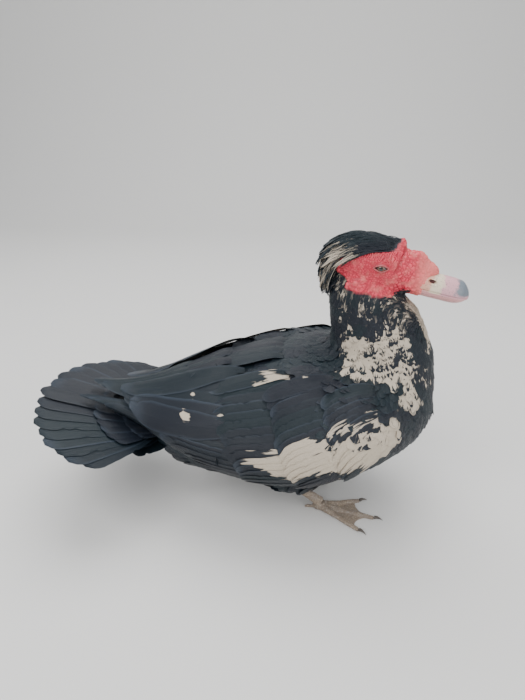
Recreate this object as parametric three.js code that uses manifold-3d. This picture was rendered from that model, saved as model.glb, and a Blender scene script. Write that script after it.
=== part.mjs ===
// A muscovy drake standing low on both feet, with his head turned a little, his crest up and his tail fanned.
// Millimetres, +X forward, +Y to the bird's left, +Z up. The floor is z = 0.
import * as THREE from "three";
import { mergeVertices } from "three/addons/utils/BufferGeometryUtils.js";
import Module from "manifold-3d";

const wasm = await Module();
wasm.setup();

// Driving dimensions
const GAP = 0.3; // between pieces that touch
const BODY_CENTRE = new THREE.Vector3(-28, 0, 132);
const BODY_PITCH = 15; // degrees, breast up
const HEAD_CENTRE = new THREE.Vector3(40, -8, 319);
const HEAD_YAW = -6; // degrees, towards the right wing
const HEAD_PITCH = 11; // degrees, bill down
const TAIL_ROOT = -168; // along the body, where the tail starts
const TAIL_RAISE = 32; // degrees above the line of the body
const TAIL_LENGTH = 172;
const TAIL_SPREAD = 60; // degrees, of the outermost feather each way
const TAIL_FEATHERS = 16;
const TAIL_ROUND = 0.24; // how much shorter the outermost feather is, as a share
const FAN_ROOT_WIDTH = 20; // half the breadth over the feathers' roots
const FAN_BOW = 0.0002; // how the fan bends down along its length
const WING_FRONT = 118; // along the body, at the bend of the wing
const WING_TIP = -266;
const VANE_THICK = 0.8;
const TRUNK_SQUARENESS = 0.93; // 1 is an ellipse, less is squarer
const EYE_RADIUS = 6.4;
const MOUTH_GAP = 0.5;
const SHANK_RADIUS = 5.2;
const TOE_LENGTHS = [54, 70, 62]; // inner, middle, outer
const SOLE_THICK = 2.2;
const SEED = 20261;

// The trunk from tail root to breast: place along the body, half width, height of back, depth of belly and
// rise of the middle line
const TRUNK = [
  { at: -222, half: 14, back: 3, belly: 10, rise: 36 },
  { at: -205, half: 28, back: 9, belly: 26, rise: 25 },
  { at: -186, half: 39, back: 20, belly: 40, rise: 13 },
  { at: -160, half: 49, back: 38, belly: 53, rise: 4 },
  { at: -120, half: 64, back: 60, belly: 65, rise: 0 },
  { at: -70, half: 86, back: 78, belly: 82, rise: 0 },
  { at: -10, half: 103, back: 84, belly: 92, rise: 0 },
  { at: 50, half: 100, back: 82, belly: 90, rise: 0 },
  { at: 100, half: 84, back: 70, belly: 76, rise: 0 },
  { at: 138, half: 60, back: 54, belly: 54, rise: 0 },
  { at: 161, half: 27, back: 27, belly: 26, rise: 0 },
];

// The neck from inside the breast to inside the head: centre, half depth front to back, half width.
const NECK = [
  { x: 46, y: -3, z: 152, depth: 78, half: 75 },
  { x: 58, y: -4, z: 183, depth: 74, half: 64 },
  { x: 61, y: -4, z: 210, depth: 64, half: 54 },
  { x: 54, y: -5, z: 242, depth: 54, half: 44 },
  { x: 38, y: -6, z: 276, depth: 40, half: 34 },
  { x: 30, y: -8, z: 306, depth: 30, half: 26 },
];

// The head from nape to bill: place along the head, half width, height above and depth below its middle line.
const SKULL = [
  { at: -41, half: 8, up: 9, down: 10 },
  { at: -34, half: 17, up: 19, down: 20 },
  { at: -18, half: 24, up: 28, down: 27 },
  { at: 4, half: 26, up: 31, down: 29 },
  { at: 24, half: 23, up: 29, down: 26 },
  { at: 40, half: 18, up: 21, down: 20 },
  { at: 50, half: 15, up: 14, down: 15 },
];

// The bill from inside the face to the nail: half width, height of the upper half, depth of the lower half
// and height of the mouth line
const BILL = [
  { at: 34, half: 14, up: 20, down: 10, mouth: -8 },
  { at: 50, half: 14.5, up: 18, down: 10, mouth: -9 },
  { at: 66, half: 14.5, up: 16, down: 10.5, mouth: -9.5 },
  { at: 82, half: 15, up: 16, down: 10.5, mouth: -9.5 },
  { at: 98, half: 15, up: 15, down: 10, mouth: -9.5 },
  { at: 109, half: 9.5, up: 11, down: 6, mouth: -10 },
];

// The sheet that a folded wing lies on, front to tip, in the body's frame: three points across it, each as
// [out, up]
const WING_SHEET = [
  { at: 118, low: [62, -26], mid: [76, 4], high: [66, 30] },
  { at: 70, low: [87, -42], mid: [101, 8], high: [66, 62] },
  { at: 10, low: [95, -44], mid: [108, 14], high: [50, 82] },
  { at: -50, low: [91, -32], mid: [102, 22], high: [38, 86] },
  { at: -110, low: [76, -10], mid: [83, 32], high: [28, 78] },
  { at: -170, low: [54, 26], mid: [56, 47], high: [17, 70] },
  { at: -215, low: [36, 54], mid: [36, 63], high: [11, 72] },
  { at: -266, low: [20, 77], mid: [20, 82], high: [6, 85] },
];

// The flesh of the folded wing: how thick it is, by its share of the wing's length.
const WING_FLESH = [
  { at: 0, thick: 3 },
  { at: 0.07, thick: 8 },
  { at: 0.16, thick: 10 },
  { at: 0.32, thick: 9 },
  { at: 0.46, thick: 7 },
  { at: 0.56, thick: 1 },
];
const WING_FLESH_UNDER = 9; // how deep it reaches under the sheet

// The wing's feathers by tier, from under to over. The lowest and the highest feather run from a root to a
// tip, each a share along the wing and a share up across it. Each leans by some degrees, so that one slides
// under the next, and each of the primaries lies a little deeper than the one below it.
const WING_TIERS = [
  {
    name: "primaries",
    count: 4,
    width: 25,
    lean: 9,
    pile: -2.2,
    lift: [-0.5, 0.5],
    low: [[0.47, 0.28], [0.9, 0.2]],
    high: [[0.47, 0.5], [1, 0.6]],
  },
  {
    name: "secondaries",
    count: 4,
    width: 31,
    lean: 9,
    pile: 0,
    lift: [5, 6.5],
    low: [[0.42, 0.1], [0.63, 0]],
    high: [[0.42, 0.62], [0.8, 0.5]],
  },
  {
    name: "tertials",
    count: 3,
    width: 33,
    lean: 7,
    pile: 0,
    lift: [10, 12.5],
    low: [[0.42, 0.66], [0.82, 0.56]],
    high: [[0.42, 0.94], [0.86, 0.94]],
  },
  {
    name: "greater coverts",
    count: 6,
    width: 31,
    lean: 8,
    pile: 0,
    lift: [6.5, 15],
    low: [[0.24, 0.18], [0.47, 0.02]],
    high: [[0.26, 0.9], [0.52, 0.82]],
  },
  {
    name: "median coverts",
    count: 5,
    width: 33,
    lean: 8,
    pile: 0,
    lift: [6, 14],
    low: [[0.08, 0.24], [0.29, 0.04]],
    high: [[0.1, 0.9], [0.33, 0.84]],
  },
];
const WING_STEP = 0.1; // share of the wing between the folds that all its feathers bend at

const radians = THREE.MathUtils.degToRad;

// A seeded random number from 0 to 1 (mulberry32)
function makeRandom(seed) {
  let state = seed;
  return () => {
    state = (state + 0x6d2b79f5) | 0;
    let mixed = Math.imul(state ^ (state >>> 15), 1 | state);
    mixed = (mixed + Math.imul(mixed ^ (mixed >>> 7), 61 | mixed)) ^ mixed;
    return ((mixed ^ (mixed >>> 14)) >>> 0) / 4294967296;
  };
}

// The value of key at a place between stations, on a smooth curve through them
function between(stations, key, place) {
  const last = stations.length - 1;
  const rising = stations[last].at > stations[0].at ? 1 : -1;
  let i = 0;
  while (i < last - 1 && (place - stations[i + 1].at) * rising > 0) i += 1;
  const value = (j) => {
    const k = Math.min(last, Math.max(0, j));
    return typeof key === "function" ? key(stations[k]) : stations[k][key];
  };
  const where = (j) => stations[Math.min(last, Math.max(0, j))].at;
  const span = where(i + 1) - where(i);
  const t = (place - where(i)) / span;
  const slope = (j) => {
    const run = where(j + 1) - where(j - 1);
    return run === 0 ? 0 : ((value(j + 1) - value(j - 1)) / run) * span;
  };
  const t2 = t * t;
  const t3 = t2 * t;
  return (
    (2 * t3 - 3 * t2 + 1) * value(i) +
    (t3 - 2 * t2 + t) * slope(i) +
    (3 * t2 - 2 * t3) * value(i + 1) +
    (t3 - t2) * slope(i + 1)
  );
}

// Solids

// A closed solid from points and triangles, turned to face out
function closedSolid(points, triangles) {
  const volume = triangles.reduce((sum, [a, b, c]) => {
    const cross = new THREE.Vector3().crossVectors(points[b], points[c]);
    return sum + points[a].dot(cross);
  }, 0);
  const facing = volume < 0 ? triangles.map(([a, b, c]) => [a, c, b]) : triangles;
  return new wasm.Manifold(
    new wasm.Mesh({
      numProp: 3,
      vertProperties: new Float32Array(points.flatMap((p) => [p.x, p.y, p.z])),
      triVerts: new Uint32Array(facing.flat()),
    }),
  );
}

// A three.js geometry, placed by a matrix, as a solid
function solidOf(geometry, matrix = new THREE.Matrix4()) {
  const bare = geometry.clone();
  bare.deleteAttribute("normal");
  bare.deleteAttribute("uv");
  bare.applyMatrix4(matrix);
  const merged = mergeVertices(bare, 1e-4);
  const position = merged.getAttribute("position");
  const points = [];
  for (let i = 0; i < position.count; i += 1) {
    points.push(new THREE.Vector3().fromBufferAttribute(position, i));
  }
  const triangles = [];
  for (let i = 0; i < merged.index.count; i += 3) {
    const corners = [merged.index.getX(i), merged.index.getX(i + 1), merged.index.getX(i + 2)];
    if (new Set(corners).size === 3) triangles.push(corners);
  }
  return closedSolid(points, triangles);
}

// A solid through rings of equally many points, closed by a fan at each end
function loft(rings) {
  const around = rings[0].length;
  const points = rings.flat();
  const triangles = [];
  for (let r = 0; r < rings.length - 1; r += 1) {
    for (let i = 0; i < around; i += 1) {
      const a = r * around + i;
      const b = r * around + ((i + 1) % around);
      triangles.push([a, b, b + around], [a, b + around, a + around]);
    }
  }
  for (const [ring, turn] of [
    [rings[0], false],
    [rings[rings.length - 1], true],
  ]) {
    const middle = ring.reduce((sum, p) => sum.add(p), new THREE.Vector3()).divideScalar(around);
    const centre = points.push(middle) - 1;
    const first = turn ? (rings.length - 1) * around : 0;
    for (let i = 0; i < around; i += 1) {
      const a = first + i;
      const b = first + ((i + 1) % around);
      triangles.push(turn ? [a, b, centre] : [b, a, centre]);
    }
  }
  return closedSolid(points, triangles);
}

// Points at equal angles round a loop
function ring(around, pointAt) {
  return Array.from({ length: around }, (_, i) => pointAt((2 * Math.PI * i) / around));
}

// Equal steps from first to last, both included
function steps(count, first, last) {
  return Array.from({ length: count }, (_, i) => first + ((last - first) * i) / (count - 1));
}

// A feather's vane through rows at a number of shares, or at given shares, of its length. From root to tip,
// rowAt(share) gives { left, middle, right, under }, where under is the step to its lower face.
function vane(shares, rowAt) {
  const rows = (Array.isArray(shares) ? shares : steps(shares, 0, 1)).map(rowAt);
  const rowCount = rows.length;
  const across = (row) => [row.left, row.middle, row.right];
  const tops = rows.flatMap(across);
  const bottoms = rows.flatMap((row) => across(row).map((p) => p.clone().add(row.under)));
  const points = [...tops, ...bottoms];
  const below = tops.length;
  const triangles = [];
  const quad = (a, b, c, d) => triangles.push([a, b, c], [a, c, d]);
  for (let r = 0; r < rowCount - 1; r += 1) {
    const k = 3 * r;
    for (const side of [0, 1]) {
      quad(k + side, k + side + 1, k + side + 4, k + side + 3);
      triangles.push(
        [below + k + side, below + k + side + 4, below + k + side + 1],
        [below + k + side, below + k + side + 3, below + k + side + 4],
      );
    }
    quad(k, k + 3, below + k + 3, below + k);
    quad(k + 2, below + k + 2, below + k + 5, k + 5);
  }
  const end = 3 * (rowCount - 1);
  for (const side of [0, 1]) {
    quad(side, below + side, below + side + 1, side + 1);
    quad(end + side, end + side + 1, below + end + side + 1, below + end + side);
  }
  return closedSolid(points, triangles);
}

// How wide a feather is along its length, as a share of its greatest width
function featherWidth(share, pointed = 0) {
  const root = 0.45 + 0.55 * Math.min(1, share / 0.45);
  const tipStart = 0.72 - 0.3 * pointed;
  const intoTip = Math.max(0, (share - tipStart) / (1 - tipStart));
  return root * Math.sqrt(Math.max(0, 1 - intoTip ** 2 * (0.86 + 0.1 * pointed)));
}

const union = (solids) => wasm.Manifold.union(solids);

// The largest closed piece of a solid
function largest(solid) {
  const pieces = solid.decompose();
  return pieces.reduce((best, piece) => (piece.volume() > best.volume() ? piece : best));
}

// A flat slab that is square to a direction at a point: its near face is at the point
function slab(point, direction, thickness, reach = 400) {
  const way = direction.clone().normalize();
  const turn = new THREE.Quaternion().setFromUnitVectors(new THREE.Vector3(0, 0, 1), way);
  const centre = point.clone().addScaledVector(way, thickness / 2);
  const matrix = new THREE.Matrix4().compose(centre, turn, new THREE.Vector3(1, 1, 1));
  return solidOf(new THREE.BoxGeometry(reach, reach, thickness), matrix);
}

// An ellipsoid in a frame
function ellipsoid(frame, centre, radii, around = 10, down = 7, turn = new THREE.Euler()) {
  const local = new THREE.Matrix4().compose(centre, new THREE.Quaternion().setFromEuler(turn), radii);
  return solidOf(new THREE.SphereGeometry(1, around, down), frame.clone().multiply(local));
}

// Frames

const bodyFrame = new THREE.Matrix4()
  .makeTranslation(BODY_CENTRE.x, BODY_CENTRE.y, BODY_CENTRE.z)
  .multiply(new THREE.Matrix4().makeRotationY(-radians(BODY_PITCH)));
const headFrame = new THREE.Matrix4()
  .makeTranslation(HEAD_CENTRE.x, HEAD_CENTRE.y, HEAD_CENTRE.z)
  .multiply(new THREE.Matrix4().makeRotationZ(radians(HEAD_YAW)))
  .multiply(new THREE.Matrix4().makeRotationY(radians(HEAD_PITCH)));
const inBody = (x, y, z) => new THREE.Vector3(x, y, z).applyMatrix4(bodyFrame);
const inHead = (x, y, z) => new THREE.Vector3(x, y, z).applyMatrix4(headFrame);
const bodyForward = new THREE.Vector3(1, 0, 0).transformDirection(bodyFrame);

// Trunk

function trunkPoint(place, angle, grow = 0) {
  const half = between(TRUNK, "half", place) + grow;
  const tall = between(TRUNK, Math.sin(angle) > 0 ? "back" : "belly", place) + grow;
  const rise = between(TRUNK, "rise", place);
  const soften = (v) => Math.sign(v) * Math.abs(v) ** TRUNK_SQUARENESS;
  return inBody(place, half * soften(Math.cos(angle)), rise + tall * soften(Math.sin(angle)));
}

function trunkSolid(grow = 0) {
  const first = TRUNK[0].at;
  const last = TRUNK[TRUNK.length - 1].at;
  const eased = (t) => 0.5 - 0.5 * Math.cos(Math.PI * (0.06 + 0.88 * t)); // closer towards both ends
  const places = steps(18, 0, 1).map((t) => first + (last - first) * eased(t));
  return loft(places.map((place) => ring(26, (angle) => trunkPoint(place, angle, grow))));
}

// Neck

function neckSolid(grow = 0) {
  const rows = NECK.map((row, i) => ({ ...row, at: i }));
  const places = steps(8, 0, NECK.length - 1);
  const centre = (t) => new THREE.Vector3(...["x", "y", "z"].map((key) => between(rows, key, t)));
  const rings = places.map((t) => {
    const along = centre(t + 0.05).sub(centre(t - 0.05)).normalize();
    const left = new THREE.Vector3(0, 1, 0);
    const front = new THREE.Vector3().crossVectors(left, along).normalize();
    return ring(20, (angle) =>
      centre(t)
        .addScaledVector(front, (between(rows, "depth", t) + grow) * Math.cos(angle))
        .addScaledVector(left, (between(rows, "half", t) + grow) * Math.sin(angle)),
    );
  });
  return loft(rings);
}

// Head

function skullPoint(place, angle, grow = 0) {
  const tall = between(SKULL, Math.sin(angle) > 0 ? "up" : "down", place) + grow;
  const half = between(SKULL, "half", place) + grow;
  return inHead(place, half * Math.cos(angle), tall * Math.sin(angle));
}

function skullNormal(place, angle) {
  const along = skullPoint(place + 1, angle).sub(skullPoint(place - 1, angle));
  const round = skullPoint(place, angle + 0.03).sub(skullPoint(place, angle - 0.03));
  return new THREE.Vector3().crossVectors(round, along).normalize();
}

function skullSolid() {
  const places = steps(11, SKULL[0].at, SKULL[SKULL.length - 1].at);
  return loft(places.map((place) => ring(16, (angle) => skullPoint(place, angle))));
}

// The eyes' places, one on each side of the head
const EYE_AT = { x: 14, y: 20, z: 3.5 };
const eyeCentre = (side) => new THREE.Vector3(EYE_AT.x, side * EYE_AT.y, EYE_AT.z);

// Red bare skin: rows of beads on each cheek, a brow over each eye, a fold on the forehead and a knob on the
// bill. A row lies so many degrees above the head's middle line.
const CHEEK_ROWS = [
  { above: -38, from: -14, to: 36 },
  { above: -20, from: -24, to: 42 },
  { above: 10, from: -24, to: 40 },
];
const BEAD_STEP = 14;
const BEAD_RADIUS = 5.8;
const EYE_ABOVE = 9; // degrees, as the rows have it
const EYE_CLEAR = 12;
const KNOB = [
  { at: [28, 0, 27], size: [7.5, 8, 9] },
  { at: [49, 0, 15], size: [13, 10, 11] },
  { at: [64, 0, 8], size: [12, 9, 9] },
];

function caruncles(random) {
  const found = [];
  const bead = (place, angle, radius, flat) => {
    const normal = skullNormal(place, angle);
    const point = skullPoint(place, angle, -radius * 0.2);
    const turn = new THREE.Quaternion().setFromUnitVectors(new THREE.Vector3(0, 0, 1), normal);
    const size = new THREE.Vector3(radius * (1 + 0.25 * random()), radius, radius * flat);
    found.push(solidOf(new THREE.SphereGeometry(1, 5, 3), new THREE.Matrix4().compose(point, turn, size)));
  };
  for (const side of [1, -1]) {
    const angleOf = (above) => (side > 0 ? radians(above) : Math.PI - radians(above));
    CHEEK_ROWS.forEach((row, number) => {
      for (let place = row.from + (number % 2) * (BEAD_STEP / 2); place <= row.to; place += BEAD_STEP) {
        const at = place + 2 * (random() - 0.5);
        const above = row.above + 5 * (random() - 0.5);
        const fromEye = Math.hypot(at - EYE_AT.x, (above - EYE_ABOVE) * 0.45);
        if (fromEye > EYE_CLEAR) bead(at, angleOf(above), BEAD_RADIUS * (0.85 + 0.3 * random()), 0.62);
      }
    });
    bead(29, angleOf(57), 7.5, 0.75);
  }
  for (const bulb of KNOB) {
    found.push(ellipsoid(headFrame, new THREE.Vector3(...bulb.at), new THREE.Vector3(...bulb.size), 9, 6));
  }
  return found;
}

// The lids: a raised almond ring round each eye
function lids() {
  return [1, -1].map((side) => {
    const centre = eyeCentre(side).setY(side * (EYE_AT.y + 3.6));
    const shape = new THREE.Matrix4().compose(
      centre,
      new THREE.Quaternion().setFromEuler(new THREE.Euler(radians(90 - side * 12), 0, 0)),
      new THREE.Vector3(1.18, 0.86, 1),
    );
    return solidOf(new THREE.TorusGeometry(6.3, 1.7, 4, 12), headFrame.clone().multiply(shape));
  });
}

// The crest: rows of long narrow feathers from the forehead over the crown, longest down the nape
const CREST_ROWS = [
  { place: 22, reach: 36, count: 2, length: 25, stand: 27, droop: 0.5 },
  { place: 10, reach: 48, count: 3, length: 27, stand: 21, droop: 0.6 },
  { place: -3, reach: 56, count: 3, length: 27, stand: 16, droop: 0.8 },
  { place: -16, reach: 66, count: 4, length: 24, stand: 9, droop: 1.4 },
  { place: -28, reach: 76, count: 4, length: 22, stand: 6, droop: 2.2 },
  { place: -35, reach: 92, count: 4, length: 27, stand: 5, droop: 4 },
  { place: -38, reach: 128, count: 5, length: 40, stand: 10, droop: 4.5 },
];
const CREST_WIDTH = 15;

function crest(random) {
  const found = [];
  for (const row of CREST_ROWS) {
    for (const offset of steps(row.count, -row.reach, row.reach)) {
      const angle = radians(90 + offset + 4 * (random() - 0.5));
      const root = skullPoint(row.place + 2 * (random() - 0.5), angle, -3.5);
      const normal = skullNormal(row.place, angle);
      const back = inHead(-1, 0, -row.droop).sub(inHead(0, 0, 0)).normalize();
      const lie = back.addScaledVector(normal, -back.dot(normal)).normalize();
      const across = new THREE.Vector3().crossVectors(normal, lie).normalize();
      const stand = radians(row.stand + 5 * (random() - 0.5));
      const length = row.length * (0.94 + 0.12 * random());
      found.push(
        vane(4, (share) => {
          const centre = root
            .clone()
            .addScaledVector(lie, length * share)
            .addScaledVector(normal, length * share * Math.tan(stand) * (1 - 0.62 * share));
          const half = (CREST_WIDTH / 2) * featherWidth(share, 0.7);
          return {
            left: centre.clone().addScaledVector(across, half),
            middle: centre.clone().addScaledVector(normal, 0.7),
            right: centre.clone().addScaledVector(across, -half),
            under: normal.clone().multiplyScalar(-1.5 * (1 - 0.4 * share)),
          };
        }),
      );
    }
  }
  return found;
}

// Bill: the upper half has a flat floor on the mouth line, and the lower half a flat roof

function billSolid(upper, grow = 0) {
  const [first, last] = [BILL[0].at, BILL[BILL.length - 1].at];
  const ends = { 0: -grow, 1: grow };
  const rings = steps(8, 0, 1).map((share) => {
    const place = first + (last - first) * share;
    const end = place + (ends[share] ?? 0);
    const half = between(BILL, "half", place) + grow - (upper ? 0 : 1.2);
    const tall = between(BILL, upper ? "up" : "down", place) + grow;
    const mouth = between(BILL, "mouth", place) + (upper ? -grow : grow - MOUTH_GAP);
    return ring(14, (angle) => {
      const high = upper ? Math.max(0, Math.sin(angle)) : Math.min(0, Math.sin(angle));
      return inHead(end, half * Math.cos(angle), mouth + (tall + grow) * high);
    });
  });
  return loft(rings);
}

function nostrils() {
  return [1, -1].map((side) =>
    ellipsoid(headFrame, new THREE.Vector3(71, side * 10.4, -1), new THREE.Vector3(4.6, 3.2, 2), 8, 4),
  );
}

function nail() {
  return ellipsoid(headFrame, new THREE.Vector3(104, 0, 0.5), new THREE.Vector3(8, 6, 5), 8, 5);
}

// Wings

// A point over the wing's sheet: along from front to tip, across from lower to upper edge, lifted outwards
function sheetPoint(side, along, across, lift = 0) {
  const place = WING_FRONT + (WING_TIP - WING_FRONT) * along;
  const bow = (key, part) => between(WING_SHEET, (row) => row[key][part], place);
  const weights = {
    low: (1 - across) * (1 - 2 * across),
    mid: 4 * across * (1 - across),
    high: across * (2 * across - 1),
  };
  const sum = (part) => Object.keys(weights).reduce((total, key) => total + weights[key] * bow(key, part), 0);
  const point = inBody(place, side * sum(0), sum(1));
  if (lift === 0) return point;
  return point.addScaledVector(sheetNormal(side, along, across), lift);
}

function sheetNormal(side, along, across) {
  const step = 0.01;
  const down = sheetPoint(side, along + step, across).sub(sheetPoint(side, along - step, across));
  const up = sheetPoint(side, along, across + step).sub(sheetPoint(side, along, across - step));
  return new THREE.Vector3().crossVectors(down, up).multiplyScalar(side).normalize();
}

// One feather on the sheet, from root to tip. It bends where all the wing's feathers bend, so that none cuts
// its neighbour.
function sheetFeather(side, root, tip, tier, pointed, pile = 0) {
  const tilt = Math.tan(radians(tier.lean));
  const span = tip[0] - root[0];
  const folds = [];
  for (let fold = Math.ceil(root[0] / WING_STEP) * WING_STEP; fold < tip[0]; fold += WING_STEP) {
    const share = (fold - root[0]) / span;
    if (share > 0.06 && share < 0.8) folds.push(share);
  }
  const shares = [0, ...folds, 0.88, 1];
  return vane(shares, (share) => {
    const [along, across] = [0, 1].map((i) => root[i] + (tip[i] - root[i]) * share);
    const near = 0.01;
    const edgeways = sheetPoint(side, along, across + near)
      .sub(sheetPoint(side, along, across - near))
      .divideScalar(2 * near);
    const lift = pile + tier.lift[0] + (tier.lift[1] - tier.lift[0]) * share;
    const half = (tier.width / 2) * featherWidth(share, pointed);
    const pointAt = (offset) => {
      const wanted = across + offset / edgeways.length();
      const kept = THREE.MathUtils.clamp(wanted, 0, 1);
      return sheetPoint(side, along, kept, lift + tilt * offset).addScaledVector(edgeways, wanted - kept);
    };
    return {
      left: pointAt(half),
      middle: pointAt(0),
      right: pointAt(-half),
      under: sheetNormal(side, along, across).multiplyScalar(-VANE_THICK),
    };
  });
}

function wingFlesh(side) {
  const places = steps(9, 0.005, WING_FLESH[WING_FLESH.length - 1].at);
  const rings = places.map((along) => {
    const thick = between(WING_FLESH, "thick", along);
    return ring(14, (angle) => {
      const out = Math.sin(angle);
      const lift = out > 0 ? thick * out ** 0.7 : WING_FLESH_UNDER * out;
      return sheetPoint(side, along, 0.5 - 0.47 * Math.cos(angle), lift);
    });
  });
  return loft(rings);
}

function wingSolid(side, clear) {
  const random = makeRandom(SEED + (side > 0 ? 1 : 2));
  const pieces = [wingFlesh(side)];
  WING_TIERS.forEach((tier, level) => {
    steps(tier.count, 0, 1).forEach((share, number) => {
      const mix = (low, high) => low.map((value, i) => value + (high[i] - value) * share);
      const root = mix(tier.low[0], tier.high[0]);
      const tip = mix(tier.low[1], tier.high[1]);
      tip[0] += 0.01 * (random() - 0.5);
      pieces.push(sheetFeather(side, root, tip, tier, level === 0 ? 0.6 : 0, tier.pile * number));
    });
  });
  return largest(union(pieces).subtract(clear));
}

// Tail

const tailFrame = bodyFrame
  .clone()
  .multiply(new THREE.Matrix4().makeTranslation(TAIL_ROOT, 0, between(TRUNK, "rise", TAIL_ROOT)))
  .multiply(new THREE.Matrix4().makeRotationY(radians(TAIL_RAISE)));
const inTail = (back, out, up) => new THREE.Vector3(-back, out, up).applyMatrix4(tailFrame);

// One feather of the fan, turned outwards by an angle. It rises to its outer edge, so that it slides over the
// next one out.
function fanFeather(feather) {
  const [cos, sin] = [Math.cos(radians(feather.turn)), Math.sin(radians(feather.turn))];
  const out = FAN_ROOT_WIDTH * Math.sin(radians(feather.turn) * 1.4);
  return vane(feather.rows, (share) => {
    const reach = feather.length * share;
    const half = (feather.width / 2) * featherWidth(share);
    const up = feather.lift + feather.rise * share - FAN_BOW * reach * reach;
    const pointAt = (offset) => {
      const along = feather.start + reach * cos - offset * sin;
      return inTail(along, out + reach * sin + offset * cos, up + feather.lean * offset);
    };
    return {
      left: pointAt(half),
      middle: pointAt(0),
      right: pointAt(-half),
      under: inTail(0, 0, -VANE_THICK).sub(inTail(0, 0, 0)),
    };
  });
}

function tailFeathers() {
  const lean = Math.tan(radians(6));
  const main = steps(TAIL_FEATHERS, -TAIL_SPREAD, TAIL_SPREAD).map((turn) => {
    const outward = Math.abs(turn) / TAIL_SPREAD;
    const middle = outward < 1 / (TAIL_FEATHERS - 1) + 0.01;
    return {
      turn,
      start: 22,
      rows: [0, 0.45, 0.84, 1],
      length: (TAIL_LENGTH - 22) * (1 - TAIL_ROUND * outward ** 2),
      width: 31,
      lift: middle ? (turn > 0 ? 3.4 : 2) : 0,
      rise: 0,
      lean: middle ? 0 : Math.sign(turn) * lean,
    };
  });
  const coverts = { start: 12, rows: [0, 0.5, 0.85, 1] };
  const overShape = { ...coverts, length: 72, width: 30, lift: 5, rise: 0.5 };
  const underShape = { ...coverts, length: 92, width: 44, lift: -6, rise: -9 };
  const over = steps(6, -38, 38).map((turn) => ({ ...overShape, turn, lean: Math.sign(turn) * lean }));
  const under = steps(4, -40, 40).map((turn) => ({ ...underShape, turn, lean: -Math.sign(turn) * lean }));
  return [...main, ...over, ...under].map(fanFeather);
}

// The fat fan that the tail feathers grow from: a thin rounded plate that opens with them
function fanCore() {
  const rings = steps(6, 0, 1).map((share) => {
    const reach = 16 + 54 * share;
    const thick = 5.5 - 2.9 * share;
    return ring(20, (angle) => {
      const turn = radians(TAIL_SPREAD) * Math.cos(angle);
      const out = FAN_ROOT_WIDTH * Math.sin(turn * 1.4) * 0.8 + reach * Math.sin(turn);
      return inTail(reach * Math.cos(turn), out, thick * Math.sin(angle) - FAN_BOW * reach * reach);
    });
  });
  return loft(rings);
}

// Legs and feet

// Each leg: where its hock and foot stand, and which way the toes point
const LEGS = {
  right: { side: -1, hock: [-38, -42, 46], hub: [2, -33, 9], turn: -12 },
  left: { side: 1, hock: [-88, 44, 46], hub: [-48, 36, 9], turn: 6 },
};

// The feathered end of the thigh: a low swelling under the belly round the hock
function thighSolid(leg, clear) {
  const [x, y] = leg.hock;
  const size = new THREE.Vector3(42, 22, 20);
  const whole = ellipsoid(new THREE.Matrix4(), new THREE.Vector3(x + 8, y * 1.05, 57), size, 16, 8);
  return largest(whole.subtract(clear).subtract(shankRod(leg, GAP)));
}

// The shank as a round rod from the hock to the foot, thicker at its two joints
function shankRod(leg, grow = 0) {
  const hock = new THREE.Vector3(...leg.hock);
  const hub = new THREE.Vector3(...leg.hub);
  const along = hub.clone().sub(hock).normalize();
  const across = new THREE.Vector3(0, 1, 0);
  const front = new THREE.Vector3().crossVectors(across, along).normalize();
  const length = hock.distanceTo(hub);
  const rings = steps(7, 0, 1).map((share) => {
    const atHock = 0.35 * Math.exp(-((share / 0.2) ** 2));
    const atFoot = 0.2 * Math.exp(-(((1 - share) / 0.16) ** 2));
    const swell = 1 + atHock + atFoot;
    const centre = hock.clone().addScaledVector(along, -grow + (length + 2 * grow) * share);
    return ring(10, (angle) =>
      centre
        .clone()
        .addScaledVector(front, (SHANK_RADIUS * 1.15 * swell + grow) * Math.cos(angle))
        .addScaledVector(across, (SHANK_RADIUS * swell + grow) * Math.sin(angle)),
    );
  });
  return loft(rings);
}

function shankSolid(leg, clear) {
  const [x, y, z] = leg.hub;
  const floorCut = slab(new THREE.Vector3(x, y, z + GAP), new THREE.Vector3(0, 0, -1), 40, 120);
  return largest(shankRod(leg).subtract(clear).subtract(floorCut));
}

// A foot: three webbed toes in front and a small hind toe, all flat on the floor
function footFrame(leg) {
  return new THREE.Matrix4()
    .makeTranslation(leg.hub[0], leg.hub[1], 0)
    .multiply(new THREE.Matrix4().makeRotationZ(radians(leg.turn)));
}

const TOE_TURNS = [28, -1, -27]; // degrees, inner toe first, for the left foot's mirror

function toeSpecs(leg) {
  return TOE_LENGTHS.map((length, i) => ({ length, turn: -leg.side * TOE_TURNS[i], root: 6 }));
}

function toeSolid(frame, toe, radius = 5.4) {
  const [cos, sin] = [Math.cos(radians(toe.turn)), Math.sin(radians(toe.turn))];
  const rings = steps(5, 0, 1).map((share) => {
    const knuckle = 1 + 0.16 * Math.cos(share * 6 * Math.PI);
    const size = radius * (1 - 0.42 * share) * knuckle * (share === 1 ? 0.75 : 1);
    const reach = toe.length * share;
    return ring(7, (angle) =>
      new THREE.Vector3(
        reach * cos - size * Math.cos(angle) * sin,
        reach * sin + size * Math.cos(angle) * cos,
        Math.max(0, size * 0.5 + size * 0.95 * Math.sin(angle)),
      ).applyMatrix4(frame),
    );
  });
  return loft(rings);
}

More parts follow.
